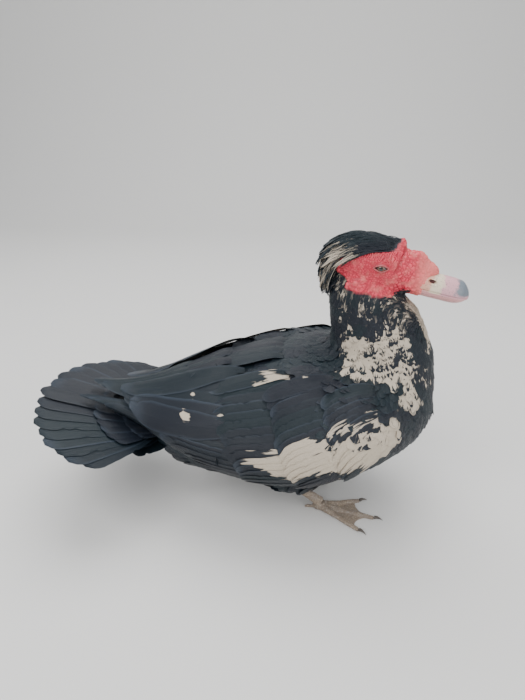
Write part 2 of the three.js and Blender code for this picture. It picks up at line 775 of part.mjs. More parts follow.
function webSolid(frame, toes) {
  const shape = new THREE.Shape();
  const tip = (toe, share) => {
    const reach = toe.length * share;
    return [reach * Math.cos(radians(toe.turn)), reach * Math.sin(radians(toe.turn))];
  };
  shape.moveTo(-3, 0);
  toes.forEach((toe, i) => {
    shape.lineTo(...tip(toe, 0.9));
    if (i < toes.length - 1) {
      const [ax, ay] = tip(toe, 0.7);
      const [bx, by] = tip(toes[i + 1], 0.7);
      shape.quadraticCurveTo((ax + bx) / 2, (ay + by) / 2, ...tip(toes[i + 1], 0.9));
    }
  });
  shape.closePath();
  const sole = { depth: SOLE_THICK, bevelEnabled: false, curveSegments: 5 };
  return solidOf(new THREE.ExtrudeGeometry(shape, sole), frame);
}

function footSolid(leg) {
  const frame = footFrame(leg);
  const toes = toeSpecs(leg);
  const hind = { length: 19, turn: 180 - leg.side * 16, root: 6 };
  const hub = ellipsoid(frame, new THREE.Vector3(0, 0, 4), new THREE.Vector3(9, 7.5, 9), 12, 8);
  const [x, y, z] = leg.hub;
  const top = slab(new THREE.Vector3(x, y, z), new THREE.Vector3(0, 0, 1), 40, 200);
  const under = slab(new THREE.Vector3(x, y, 0), new THREE.Vector3(0, 0, -1), 40, 300);
  const front = toes.map((toe) => toeSolid(frame, toe));
  const pieces = [webSolid(frame, toes), hub, toeSolid(frame, hind, 3.4), ...front];
  return largest(union(pieces).subtract(top).subtract(under));
}

function clawSolid(leg, toe, length = 11, radius = 2.6) {
  const frame = footFrame(leg);
  const [cos, sin] = [Math.cos(radians(toe.turn)), Math.sin(radians(toe.turn))];
  const rings = steps(4, 0, 1).map((share) => {
    const reach = toe.length + GAP + length * share;
    const size = radius * (1 - 0.86 * share);
    const height = 3 + 1.4 * Math.sin(Math.PI * share) - 1.9 * share * share;
    return ring(6, (angle) =>
      new THREE.Vector3(
        reach * cos - size * Math.cos(angle) * sin,
        reach * sin + size * Math.cos(angle) * cos,
        Math.max(0.2, height + size * Math.sin(angle)),
      ).applyMatrix4(frame),
    );
  });
  return loft(rings);
}

// Putting the bird together

const solids = {};
const random = makeRandom(SEED);

const billClear = union([billSolid(true, GAP), billSolid(false, GAP)]);
const flesh = union([trunkSolid(), neckSolid(), skullSolid()]).subtract(billClear);
const neckBase = new THREE.Vector3(60, -5, 200);
const neckBaseWay = new THREE.Vector3(0.42, 0, 0.91).normalize();
const neckTop = new THREE.Vector3(56, -7, 284);
const neckTopWay = new THREE.Vector3(-0.2, 0, 0.98).normalize();
const tailPlane = inBody(TAIL_ROOT, 0, 0);

// Keeps what lies on one side of a plane, from the plane out to far beyond the bird
const beyond = (solid, point, way) => solid.intersect(slab(point, way, 900, 1400));
// Keeps what lies behind a plane, short of it by the gap
const before = (solid, point, way) => {
  const opposite = way.clone().negate();
  return beyond(solid, point.clone().addScaledVector(opposite, GAP), opposite);
};
const backward = bodyForward.clone().negate();

solids.torso = largest(before(before(flesh, tailPlane, backward), neckBase, neckBaseWay));
solids.neck = largest(before(beyond(flesh, neckBase, neckBaseWay), neckTop, neckTopWay));

// A ball at the place of an eye
function eyeSphere(side, radius, around, down) {
  const centre = new THREE.Matrix4().setPosition(eyeCentre(side));
  return solidOf(new THREE.SphereGeometry(radius, around, down), headFrame.clone().multiply(centre));
}

const SOCKET_RADIUS = EYE_RADIUS + GAP + 0.25; // clear of the eyeball's flats too
const sockets = [1, -1].map((side) => eyeSphere(side, SOCKET_RADIUS, 12, 8));
const headFlesh = beyond(flesh, neckTop, neckTopWay);
const headWhole = union([headFlesh, ...caruncles(random), ...lids(), ...crest(random)]);
const headClear = union([billClear, ...sockets, slab(neckTop, neckTopWay.clone().negate(), 200, 400)]);
solids.head = largest(headWhole.subtract(headClear));

const upperWhole = union([billSolid(true), nail()]).subtract(union(nostrils()));
solids.bill_upper = largest(upperWhole.subtract(billSolid(false, MOUTH_GAP)));
solids.bill_lower = largest(billSolid(false).subtract(union([billSolid(true, MOUTH_GAP / 2), nail()])));
solids.eye_left = eyeSphere(1, EYE_RADIUS, 10, 7);
solids.eye_right = eyeSphere(-1, EYE_RADIUS, 10, 7);

const tailCore = beyond(flesh, tailPlane, backward);
solids.tail = largest(beyond(union([tailCore, fanCore(), ...tailFeathers()]), tailPlane, backward));

const trunkClear = trunkSolid(GAP);
solids.wing_left = wingSolid(1, trunkClear);
solids.wing_right = wingSolid(-1, trunkClear);

for (const [name, leg] of Object.entries(LEGS)) {
  solids["thigh_" + name] = thighSolid(leg, trunkClear);
  solids["shank_" + name] = shankSolid(leg, trunkClear);
  solids["foot_" + name] = footSolid(leg);
  toeSpecs(leg).forEach((toe, i) => {
    solids["claw_" + name + "_" + (i + 1)] = clawSolid(leg, toe);
  });
}

// Colours
const LOOKS = {
  plumage: { color: 0x2a3138, roughness: 0.6, metalness: 0 },
  face: { color: 0xc8323f, roughness: 0.5, metalness: 0 },
  bill: { color: 0xd79a9c, roughness: 0.35, metalness: 0 },
  eye: { color: 0x2b2018, roughness: 0.1, metalness: 0 },
  leg: { color: 0xa89a80, roughness: 0.6, metalness: 0 },
  claw: { color: 0x55504a, roughness: 0.4, metalness: 0 },
};
const lookOf = (name) => {
  if (name.startsWith("bill")) return "bill";
  if (name.startsWith("eye")) return "eye";
  if (name.startsWith("claw")) return "claw";
  if (name.startsWith("shank") || name.startsWith("foot")) return "leg";
  return name === "head" ? "face" : "plumage";
};

// The middle of the bird's box along one axis
const bounds = Object.values(solids).map((solid) => solid.boundingBox());
const middleOf = (axis) => {
  const lowest = Math.min(...bounds.map((box) => box.min[axis]));
  const highest = Math.max(...bounds.map((box) => box.max[axis]));
  return (lowest + highest) / 2;
};

// A solid as a named mesh
function meshOf(name, solid) {
  const made = solid.getMesh();
  const geometry = new THREE.BufferGeometry();
  geometry.setAttribute("position", new THREE.BufferAttribute(new Float32Array(made.vertProperties), 3));
  geometry.setIndex(new THREE.BufferAttribute(new Uint32Array(made.triVerts), 1));
  const mesh = new THREE.Mesh(geometry, new THREE.MeshStandardMaterial(LOOKS[lookOf(name)]));
  mesh.name = name;
  return mesh;
}

// The bird stands with the floor under the middle of its box at the origin
const drake = new THREE.Group();
for (const [name, solid] of Object.entries(solids)) {
  drake.add(meshOf(name, solid));
}
drake.position.set(-middleOf(0), -middleOf(1), 0);

export default drake;
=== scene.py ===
# %% [markdown]
# # A muscovy drake as a museum model
# The bird is built as a skin with feathers on it, as a taxidermist would dress a form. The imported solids
# give every place and size. One smooth skin takes the place of the flesh, and each kind of feather is
# laid over it along the lie of the plumage: small ones by Geometry Nodes, the long ones of wing and tail
# one by one. Lengths are written in millimetres, as the solids have them, and turned into metres where a
# point is made.

import math
import random

import bmesh
import bpy
import numpy as np
from mathutils import Matrix, Vector, noise
from mathutils.bvhtree import BVHTree
from mathutils.kdtree import KDTree


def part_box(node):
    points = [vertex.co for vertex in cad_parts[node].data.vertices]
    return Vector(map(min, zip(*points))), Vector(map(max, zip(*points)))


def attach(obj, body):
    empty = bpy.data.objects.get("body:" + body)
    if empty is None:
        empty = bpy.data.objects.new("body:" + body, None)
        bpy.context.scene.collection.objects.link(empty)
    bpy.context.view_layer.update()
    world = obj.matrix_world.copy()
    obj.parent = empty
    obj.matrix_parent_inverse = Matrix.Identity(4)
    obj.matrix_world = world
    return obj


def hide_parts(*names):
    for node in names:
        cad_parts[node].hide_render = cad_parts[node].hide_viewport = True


MM = 0.001

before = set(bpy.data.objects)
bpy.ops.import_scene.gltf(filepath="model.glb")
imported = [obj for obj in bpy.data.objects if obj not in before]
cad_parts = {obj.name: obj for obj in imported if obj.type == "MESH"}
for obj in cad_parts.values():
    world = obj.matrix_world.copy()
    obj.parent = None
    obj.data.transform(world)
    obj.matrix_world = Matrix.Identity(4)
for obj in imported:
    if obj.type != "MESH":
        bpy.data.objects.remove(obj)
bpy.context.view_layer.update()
print("the frame holds", len(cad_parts), "nodes")

# %% [markdown]
# ## Where the bird stands
# The solids were drawn round the bird's own zero and then slid along the floor until the middle of their
# box was over the origin. The eyes tell how far: their middle in the frame is compared with where the
# head puts it.

# %% The frames of body, head and tail
BODY_CENTRE = (-28, 0, 132)
BODY_PITCH = 15
HEAD_CENTRE = (40, -8, 319)
HEAD_YAW = -6
HEAD_PITCH = 11
EYE_AT = (14, 20, 3.5)
TAIL_ROOT = -168
TAIL_RISE = 6.1
TAIL_RAISE = 32


def turned(centre, yaw, pitch):
    """A frame at a centre in millimetres, turned about the upright and then nose down, by degrees."""
    spin = Matrix.Rotation(math.radians(yaw), 4, "Z") @ Matrix.Rotation(math.radians(pitch), 4, "Y")
    return Matrix.Translation(Vector(centre)) @ spin


head_local = turned(HEAD_CENTRE, HEAD_YAW, HEAD_PITCH)
eyes_drawn = head_local @ Vector((EYE_AT[0], 0, EYE_AT[2]))
eye_boxes = [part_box("eye_left"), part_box("eye_right")]
eyes_found = sum((low + high for low, high in eye_boxes), Vector()) / 4
slide = Vector(((eyes_found.x / MM) - eyes_drawn.x, 0, 0))
body_frame = Matrix.Translation(slide) @ turned(BODY_CENTRE, 0, -BODY_PITCH)
head_frame = Matrix.Translation(slide) @ head_local
tail_frame = body_frame @ turned((TAIL_ROOT, 0, TAIL_RISE), 0, TAIL_RAISE)


def in_body(x, y, z):
    """A point of the body's frame, in metres of the shared frame."""
    return (body_frame @ Vector((x, y, z))) * MM


def in_head(x, y, z):
    """A point of the head's frame, in metres of the shared frame."""
    return (head_frame @ Vector((x, y, z))) * MM


def in_tail(back, out, up):
    """A point of the tail's frame, in metres of the shared frame."""
    return (tail_frame @ Vector((-back, out, up))) * MM


print("slid by", [round(value, 1) for value in slide], "mm")

# %% [markdown]
# ## Camera, light and floor
# The photograph was taken from a little above and almost square to the bird's right side, close to it.
# The camera stands where the outline of the solids falls on the bird in the photograph. A pale floor and
# three wide lights stand in for a studio, so that the black feathers show their gloss.

# %% The camera
CAMERA_AT = (-13.8, -586.3, 480.0)
CAMERA_DOWN = 25
CAMERA_TURN = 6
FOCAL_PIXELS = 540
PHOTO_WIDTH = 525
SENSOR = 36

camera_data = bpy.data.cameras.new("photo_camera")
camera_data.sensor_fit = "HORIZONTAL"
camera_data.sensor_width = SENSOR
camera_data.lens = SENSOR * FOCAL_PIXELS / PHOTO_WIDTH
camera_data.clip_start = 0.01
camera = bpy.data.objects.new("photo_camera", camera_data)
camera.location = (Vector(CAMERA_AT) + slide) * MM
camera.rotation_euler = (math.radians(90 - CAMERA_DOWN), 0, math.radians(CAMERA_TURN))
bpy.context.scene.collection.objects.link(camera)
bpy.context.scene.camera = camera
print("the camera stands at", [round(value, 3) for value in camera.location])

# %% Short calls that build node trees


class Nodes:
    """Adds nodes to a shader tree or a geometry tree."""

    def __init__(self, tree):
        self.tree = tree

    def feed(self, socket, value):
        """Gives a socket another socket, or a plain value. A colour is given as three numbers."""
        if isinstance(value, bpy.types.NodeSocket):
            self.tree.links.new(value, socket)
        elif socket.type == "RGBA":
            socket.default_value = (*value, 1)
        else:
            socket.default_value = value

    def add(self, kind, settings=None, **inputs):
        """A new node. Settings are its own properties. Inputs go by socket name, with _ for a space."""
        made = self.tree.nodes.new(kind)
        for key, value in (settings or {}).items():
            setattr(made, key, value)
        for key, value in inputs.items():
            wanted = key.replace("_", " ")
            self.feed(next(s for s in made.inputs if s.name == wanted and s.enabled), value)
        return made

    def out(self, kind, settings=None, **inputs):
        """The first output of a new node."""
        return next(s for s in self.add(kind, settings, **inputs).outputs if s.enabled)

    def math(self, operation, *values, kind="ShaderNodeMath"):
        """One step of arithmetic on numbers, or on vectors where the kind says so."""
        made = self.add(kind, {"operation": operation})
        for socket, value in zip([s for s in made.inputs if s.enabled], values):
            self.feed(socket, value)
        return next(s for s in made.outputs if s.enabled)

    def plus(self, first, second):
        """The sum of two numbers."""
        return self.math("ADD", first, second)

    def minus(self, first, second):
        """The first number less the second."""
        return self.math("SUBTRACT", first, second)

    def times(self, first, second):
        """The product of two numbers."""
        return self.math("MULTIPLY", first, second)


class Look(Nodes):
    """A material with its Principled shader."""

    def __init__(self, name, color, roughness):
        self.material = bpy.data.materials.new(name)
        self.material.use_nodes = True
        super().__init__(self.material.node_tree)
        self.set(Base_Color=color, Roughness=roughness)

    def set(self, **inputs):
        """Gives inputs of the shader a value or a socket."""
        shader = self.tree.nodes["Principled BSDF"]
        for key, value in inputs.items():
            self.feed(shader.inputs[key.replace("_", " ")], value)

    def read(self, name, output="Fac"):
        """An attribute of the mesh, as a number or as a vector."""
        return self.add("ShaderNodeAttribute", {"attribute_name": name}).outputs[output]

    def split(self, name):
        """The three numbers of a vector attribute."""
        return self.add("ShaderNodeSeparateXYZ", Vector=self.read(name, "Vector")).outputs

    def place(self):
        """The place on the piece in metres."""
        return self.add("ShaderNodeTexCoord").outputs["Object"]

    def noise(self, vector, scale, detail):
        """Cloudy noise round a half."""
        return self.add("ShaderNodeTexNoise", Vector=vector, Scale=scale, Detail=detail).outputs["Fac"]

    def mix(self, share, first, second):
        """A colour between two, by a share. Colours are sockets or three numbers."""
        made = self.add("ShaderNodeMix", {"data_type": "RGBA"})
        colors = [s for s in made.inputs if s.type == "RGBA"]
        for socket, value in zip([made.inputs[0], *colors], (share, first, second)):
            self.feed(socket, value)
        return next(s for s in made.outputs if s.type == "RGBA")

    def ranged(self, value, low, high, to_low=0.0, to_high=1.0):
        """A value from low to high, spread over another range with soft ends."""
        made = self.add("ShaderNodeMapRange", {"interpolation_type": "SMOOTHSTEP"})
        for socket, amount in zip(made.inputs, (value, low, high, to_low, to_high)):
            self.feed(socket, amount)
        return made.outputs[0]

    def bump(self, height, depth, strength):
        """Relief from a height. The depth is in metres."""
        made = self.add("ShaderNodeBump", Strength=strength, Distance=depth, Height=height)
        self.set(Normal=made.outputs["Normal"])


# %% Short calls for meshes
SHARP_FROM = 55


def as_object(name, mesh):
    """A mesh as an object of the scene, at the origin."""
    made = bpy.data.objects.new(name, mesh)
    bpy.context.scene.collection.objects.link(made)
    return made


def baked(source, name):
    """A new plain mesh object from what an object's modifiers make of it. The source is removed."""
    graph = bpy.context.evaluated_depsgraph_get()
    mesh = bpy.data.meshes.new_from_object(source.evaluated_get(graph), depsgraph=graph)
    mesh.name = name
    bpy.data.objects.remove(source)
    return as_object(name, mesh)


def mesh_of(form, name):
    """The mesh that a bmesh holds."""
    mesh = bpy.data.meshes.new(name)
    form.to_mesh(mesh)
    form.free()
    return mesh


def points_of(mesh, field="co"):
    """The places of the points of a mesh as an array, or the normals there."""
    found = np.zeros(len(mesh.vertices) * 3, np.float32)
    mesh.vertices.foreach_get(field, found)
    return found.reshape(-1, 3).astype(float)


def move_points(mesh, places):
    """Moves the points of a mesh to new places."""
    mesh.vertices.foreach_set("co", np.asarray(places, np.float32).ravel())
    mesh.update()


def store(mesh, name, values):
    """An attribute on the points of a mesh, of one number or three."""
    kind, field = ("FLOAT_VECTOR", "vector") if np.ndim(values) == 2 else ("FLOAT", "value")
    made = mesh.attributes.new(name, kind, "POINT")
    made.data.foreach_set(field, np.asarray(values, np.float32).ravel())


def shade_vanes(mesh):
    """Smooth shading with sharp edges, so that thin edges look thin."""
    mesh.shade_smooth()
    mesh.set_sharp_from_angle(angle=math.radians(SHARP_FROM))


# %% Floor and lights
FLOOR_NEAR, FLOOR_FAR, FLOOR_HALF = -2.5, 2.2, 4
WALL_HIGH, WALL_BEND = 2.4, 0.7
LIGHTS = {
    "window": {"at": (-0.7, -1.3, 1.7), "size": 1.6, "watts": 40},
    "fill": {"at": (1.5, -0.9, 0.9), "size": 1.5, "watts": 15},
    "top": {"at": (-0.1, 0.6, 1.9), "size": 1.6, "watts": 36},
}
LOOKED_AT = (0, 0, 0.15)
SKY, SKY_STRENGTH = (0.9, 0.94, 1, 1), 0.5


def add_floor():
    """A wide pale floor that curves up behind the bird."""
    bend_from = FLOOR_FAR - WALL_BEND
    outline = [(FLOOR_NEAR, 0.0), (bend_from, 0.0)]
    for turn in np.linspace(0.1, math.pi / 2, 12):
        outline.append((bend_from + WALL_BEND * math.sin(turn), WALL_BEND - WALL_BEND * math.cos(turn)))
    outline.append((FLOOR_FAR, WALL_HIGH))
    points = [(x, y, z) for y, z in outline for x in (-FLOOR_HALF, FLOOR_HALF)]
    faces = [(i, i + 1, i + 3, i + 2) for i in range(0, len(points) - 2, 2)]
    mesh = bpy.data.meshes.new("floor")
    mesh.from_pydata(points, [], faces)
    mesh.materials.append(Look("studio_paper", (0.72, 0.71, 0.69), 0.85).material)
    mesh.shade_smooth()
    as_object("floor", mesh)


def add_lights():
    """Three wide lights that look at the bird, and a dim pale sky."""
    for name, light in LIGHTS.items():
        data = bpy.data.lights.new(name, "AREA")
        data.size = light["size"]
        data.energy = light["watts"]
        lamp = as_object(name, data)
        lamp.location = light["at"]
        lamp.rotation_euler = (Vector(LOOKED_AT) - lamp.location).to_track_quat("-Z", "Y").to_euler()
    world = bpy.data.worlds.new("studio")
    world.use_nodes = True
    sky = world.node_tree.nodes["Background"].inputs
    sky["Color"].default_value = SKY
    sky["Strength"].default_value = SKY_STRENGTH
    bpy.context.scene.world = world


add_floor()
add_lights()
print("lights:", list(LIGHTS))

# %% [markdown]
# ## The skin
# Under its feathers a duck is one smooth form. Torso, neck and thighs are taken from the solids. The
# skull, the throat and the fleshy front of each folded wing are lofted again from their own named sizes,
# because their solids carry feathers and beads. A voxel remesh makes one closed skin of them all, so that
# no seam shows.

# %% Sizes that the head and wing share with the solids
SKULL = [
    (-41, 8, 9, 10),
    (-34, 17, 19, 20),
    (-18, 24, 28, 27),
    (4, 26, 31, 29),
    (24, 23, 29, 26),
    (40, 18, 21, 20),
    (50, 15, 14, 15),
]
THROAT = [
    (0, (54, -5, 242), 54, 44),
    (1, (38, -6, 276), 40, 34),
    (2, (30, -8, 306), 30, 26),
]
KNOB = [((28, 0, 27), (7.5, 8, 9)), ((49, 0, 15), (13, 10, 11)), ((64, 0, 8), (12, 9, 9))]
BILL = [
    (34, 14, 20, 10, -8),
    (50, 14.5, 18, 10, -9),
    (66, 14.5, 16, 10.5, -9.5),
    (82, 15, 16, 10.5, -9.5),
    (98, 15, 15, 10, -9.5),
    (109, 9.5, 11, 6, -10),
]
GUM_THICK = 1.6
GUM_FRONT = 64
WING_FRONT = 118
WING_TIP = -266
WING_SHEET = [
    (118, (62, -26), (76, 4), (66, 30)),
    (70, (87, -42), (101, 8), (66, 62)),
    (10, (95, -44), (108, 14), (50, 82)),
    (-50, (91, -32), (102, 22), (38, 86)),
    (-110, (76, -10), (83, 32), (28, 78)),
    (-170, (54, 26), (56, 47), (17, 70)),
    (-215, (36, 54), (36, 63), (11, 72)),
    (-266, (20, 77), (20, 82), (6, 85)),
]
WING_FLESH = [(0, 3), (0.07, 8), (0.16, 10), (0.32, 9), (0.46, 7), (0.56, 1)]
SHARE_STEP = 0.01


def between(rows, place, column):
    """What a column holds at a place, on a smooth curve through the rows. The first column is the place."""
    last = len(rows) - 1
    rising = 1 if rows[last][0] > rows[0][0] else -1
    first = 0
    while first < last - 1 and (place - rows[first + 1][0]) * rising > 0:
        first += 1
    clamped = [min(last, max(0, first + step)) for step in (-1, 0, 1, 2)]
    at = [rows[i][0] for i in clamped]
    value = [np.asarray(rows[i][column], float) for i in clamped]
    span = at[2] - at[1]
    share = (place - at[1]) / span
    slope_in = (value[2] - value[0]) / (at[2] - at[0]) * span
    slope_out = (value[3] - value[1]) / (at[3] - at[1]) * span
    squared, cubed = share**2, share**3
    return (
        (2 * cubed - 3 * squared + 1) * value[1]
        + (cubed - 2 * squared + share) * slope_in
        + (3 * squared - 2 * cubed) * value[2]
        + (cubed - squared) * slope_out
    )


def skull_point(place, turn):
    """A point on the skull: a place along the head and a turn from its left side over the crown."""
    tall = float(between(SKULL, place, 2 if math.sin(turn) > 0 else 3))
    half = float(between(SKULL, place, 1))
    return in_head(place, half * math.cos(turn), tall * math.sin(turn))


def bill_sizes(place):
    """Half width, upper height, lower depth and mouth line at a place on the bill."""
    return [float(between(BILL, place, column)) for column in (1, 2, 3, 4)]


def gum_point(place, turn):
    """A point of the fleshy collar that grips the root of the bill."""
    half, up, down, mouth = bill_sizes(place)
    tall = (up if math.sin(turn) > 0 else down) + GUM_THICK
    return in_head(place, (half + GUM_THICK) * math.cos(turn), mouth + tall * math.sin(turn))


def sheet_point(side, along, across, lift=0.0):
    """A point over the wing's sheet, by shares along and up across it, lifted outwards by millimetres."""
    place = WING_FRONT + (WING_TIP - WING_FRONT) * along
    low, middle, high = (between(WING_SHEET, place, column) for column in (1, 2, 3))
    bow = (
        (1 - across) * (1 - 2 * across) * low
        + 4 * across * (1 - across) * middle
        + across * (2 * across - 1) * high
    )
    point = in_body(place, side * float(bow[0]), float(bow[1]))
    return point + sheet_normal(side, along, across) * lift * MM if lift else point


def sheet_normal(side, along, across):
    """The way out from the wing's sheet."""
    down = sheet_point(side, along + SHARE_STEP, across) - sheet_point(side, along - SHARE_STEP, across)
    up = sheet_point(side, along, across + SHARE_STEP) - sheet_point(side, along, across - SHARE_STEP)
    return down.cross(up).normalized() * side


# %% Closed forms for the remesh
SKIN_VOXEL = 3.4
SKIN_SMOOTHING = 8
FLESH_NODES = ["torso", "neck", "thigh_left", "thigh_right"]
HEAD_AROUND, WING_AROUND = 28, 24
WING_INNER = 9


def add_loft(form, rings):
    """Adds a closed tube through rings of equally many points to a bmesh."""
    rows = [[form.verts.new(point) for point in ring] for ring in rings]
    around = len(rows[0])
    for row, after in zip(rows, rows[1:]):
        for i in range(around):
            form.faces.new((row[i], row[(i + 1) % around], after[(i + 1) % around], after[i]))
    form.faces.new(list(reversed(rows[0])))
    form.faces.new(rows[-1])


def circle(count):
    """Turns at equal steps round a ring."""
    return [2 * math.pi * i / count for i in range(count)]


def rings_of(point, places):
    """Rings of the head, through what a function gives for each place along it and each turn round it."""
    return [[point(place, turn) for turn in circle(HEAD_AROUND)] for place in places]


def add_ellipsoid(form, centre, radii):
    """Adds an ellipsoid of the head's frame to a bmesh."""
    shape = Matrix.Translation(in_head(*centre)) @ (head_frame.to_3x3() * MM).to_4x4()
    made = bmesh.ops.create_uvsphere(form, u_segments=24, v_segments=14, radius=1)
    bmesh.ops.transform(form, matrix=shape @ Matrix.Diagonal((*radii, 1)), verts=made["verts"])


def throat_ring(step):
    """A ring of the throat, square to its own line."""
    along = Vector(between(THROAT, step + 0.05, 1) - between(THROAT, step - 0.05, 1)).normalized()
    left = Vector((0, 1, 0))
    front = left.cross(along).normalized()
    centre = Vector(between(THROAT, step, 1)) + slide
    deep, half = float(between(THROAT, step, 2)), float(between(THROAT, step, 3))
    return [
        (centre + front * deep * math.cos(turn) + left * half * math.sin(turn)) * MM
        for turn in circle(HEAD_AROUND)
    ]


def wing_flesh_ring(side, along):
    """A ring of the flesh that fills the front of the folded wing."""
    thick = float(between(WING_FLESH, along, 1))
    points = []
    for turn in circle(WING_AROUND):
        across = 0.5 - 0.47 * math.cos(turn)
        out = math.sin(turn)
        lift = thick * out**0.7 if out > 0 else WING_INNER * out
        points.append(sheet_point(side, along, across, lift or 0.01))
    return points


def tail_stub_ring(share):
    """A ring of the fleshy tail root that the fan grows from. It is widest and thickest at its own root."""
    reach, half = -14 + 78 * share, 36 - 8 * share
    tall, low = 15 - 12 * share, 30 - 27 * share
    return [
        in_tail(reach, half * math.cos(turn), (tall if math.sin(turn) > 0 else low) * math.sin(turn))
        for turn in circle(WING_AROUND)
    ]


# %% One skin round all of them


def flesh_form():
    """All of the flesh as overlapping closed forms in one mesh."""
    form = bmesh.new()
    for name in FLESH_NODES:
        form.from_mesh(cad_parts[name].data)
    bmesh.ops.remove_doubles(form, verts=form.verts, dist=1e-6)
    add_loft(form, rings_of(skull_point, np.linspace(-40, 49, 16)))
    add_loft(form, [throat_ring(step) for step in np.linspace(0, 2, 7)])
    add_loft(form, rings_of(gum_point, (42, 50, 58, GUM_FRONT)))
    for centre, radii in KNOB:
        add_ellipsoid(form, centre, radii)
    for side in (1, -1):
        add_loft(form, [wing_flesh_ring(side, along) for along in np.linspace(0.005, 0.56, 10)])
    add_loft(form, [tail_stub_ring(share) for share in np.linspace(0, 1, 6)])
    bmesh.ops.recalc_face_normals(form, faces=form.faces)
    return mesh_of(form, "flesh")


def remeshed(source, name, voxel, rounds):
    """One closed smooth surface round all the closed forms of an object."""
    remesh = source.modifiers.new("one skin", "REMESH")
    remesh.mode = "VOXEL"
    remesh.voxel_size = voxel * MM
    smooth = source.modifiers.new("smooth", "SMOOTH")
    smooth.factor = 0.5
    smooth.iterations = rounds
    return baked(source, name)


skin = remeshed(as_object("flesh", flesh_form()), "skin", SKIN_VOXEL, SKIN_SMOOTHING)
print("the skin has", len(skin.data.vertices), "points")

# %% [markdown]
# ## The lie of the plumage
# Feathers point away from the bill: back over the head, down the neck, round the breast and along the
# body to the tail. A line through the middle of the bird carries that direction. Each point of the skin
# takes it from the nearest stretch of the line, laid flat on the skin. The same line says how long the
# feathers are there, and with the turn round it gives an unwrap of the skin, as if it were slit along the
# belly.

# %% The line through the bird
SPINE = [
    (0, in_head(80, 0, -4)),
    (1, in_head(42, 0, -2)),
    (2, in_head(10, 0, -2)),
    (3, (Vector((36, -6, 284)) + slide) * MM),
    (4, (Vector((54, -5, 242)) + slide) * MM),
    (5, (Vector((60, -4, 204)) + slide) * MM),
    (6, (Vector((36, -2, 168)) + slide) * MM),
    (7, in_body(0, 0, 0)),
    (8, in_body(-70, 0, 4)),
    (9, in_body(-130, 0, 8)),
    (10, in_body(-175, 0, 14)),
    (11, in_tail(60, 0, 0)),
    (12, in_tail(150, 0, 0)),
]
SPINE_STEPS = 97
FEATHER_LENGTHS = [(0, 5), (2, 6), (3, 9), (4, 12), (5, 16), (6, 20), (7, 25), (9, 28), (12, 30)]
COAT_DEPTHS = [(0, 0.6), (2, 0.9), (3, 1.5), (4, 1.9), (5, 2.1), (7, 2.8), (10, 2.8), (12, 1.2)]

spine_at = np.linspace(0, 12, SPINE_STEPS)
spine = np.array([between(SPINE, at, 1) for at in spine_at])
spine_way = np.gradient(spine, axis=0)
spine_way /= np.linalg.norm(spine_way, axis=1)[:, None]


def along_spine(points):
    """For each point: its place on the line through the bird, the line's way there and the nearest spot."""
    apart = np.linalg.norm(points[:, None, :] - spine[None, :, :], axis=2)
    weight = 1 / (apart + 1e-4) ** 8
    weight /= weight.sum(axis=1)[:, None]
    way = weight @ spine_way
    return weight @ spine_at, way / np.linalg.norm(way, axis=1)[:, None], weight @ spine


def laid_flat(ways, normals):
    """Ways laid into the surface and made one long."""
    flat = ways - normals * (ways * normals).sum(axis=1)[:, None]
    return flat / np.maximum(np.linalg.norm(flat, axis=1), 1e-9)[:, None]


def neighbour_mean(mesh, values, rounds):
    """Values at the points of a mesh, each moved towards its neighbours' mean a few times."""
    edges = np.zeros(len(mesh.edges) * 2, np.int32)
    mesh.edges.foreach_get("vertices", edges)
    edges = edges.reshape(-1, 2)
    count = np.bincount(edges.ravel(), minlength=len(values))[:, None]
    for _ in range(rounds):
        total = np.zeros_like(values)
        np.add.at(total, edges[:, 0], values[edges[:, 1]])
        np.add.at(total, edges[:, 1], values[edges[:, 0]])
        values = 0.5 * values + 0.5 * total / np.maximum(count, 1)
    return values


def smooth_step(value, low, high):
    """0 below low, 1 above high, and a soft rise between."""
    share = np.clip((np.asarray(value, float) - low) / (high - low), 0, 1)
    return share * share * (3 - 2 * share)


def local(frame_matrix, points):
    """Points in the millimetres of a frame."""
    inverse = np.array(frame_matrix.inverted())
    return (points / MM) @ inverse[:3, :3].T + inverse[:3, 3]


# %% [markdown]
# ## Where the bare skin and the crest are
# A muscovy drake's face is bare and red from the bill to behind the eye, down to the throat. Black crest
# feathers cover the crown between the two bare cheeks and hang down the nape. Functions of the place on
# the head draw these borders, with some noise, because no feather edge is a clean line.

# %% Bare face and crown
FACE_REAR = -30
FACE_TOP = 20
FACE_BOTTOM = -26
CHIN_RISE = 13
EAR_STEP = 16
BROW_RISE = 20
GUM_REAR, GUM_FLOOR = 50, -24
FACE_RAGGED = 2.0
CREST_FRONT = 34


def ragged(points, scale, seed):
    """Smooth noise from -1 to 1 at each point, with features of a size in millimetres."""
    shift = Vector((seed * 7.3, seed * 3.1, seed * 5.7))
    return np.array([noise.noise(Vector(p) / (scale * MM) + shift) for p in points])


def face_top(x):
    """How high the bare face reaches at a place along the head: over the brow it climbs to the forehead."""
    return FACE_TOP + 0.22 * (x - EYE_AT[0]) + BROW_RISE * smooth_step(x, 22, 33)


def face_share(points):
    """1 on the bare face, 0 on feathers, with a ragged edge between."""
    x, _, z = local(head_frame, points).T
    bottom = FACE_BOTTOM + CHIN_RISE * smooth_step(x, 30, 56)
    rear = x - FACE_REAR + 0.15 * np.abs(z) - EAR_STEP * smooth_step(-z, 12, 18)
    inside = np.minimum(np.minimum(face_top(x) - z, z - bottom), rear)
    gum = np.minimum(x - GUM_REAR, z - GUM_FLOOR)
    inside = np.maximum(inside, gum) + FACE_RAGGED * ragged(points, 8, 1)
    return smooth_step(inside, -0.6, 0.9) * smooth_step(x, -45, -36)


def on_crest(points):
    """True where crest feathers grow: on the crown above the bare face, and down the nape."""
    x, _, z = local(head_frame, points).T
    crown = (z > face_top(x) - 3) & (x < CREST_FRONT)
    nape = (x < FACE_REAR + 4) & (z > -26)
    return crown | nape


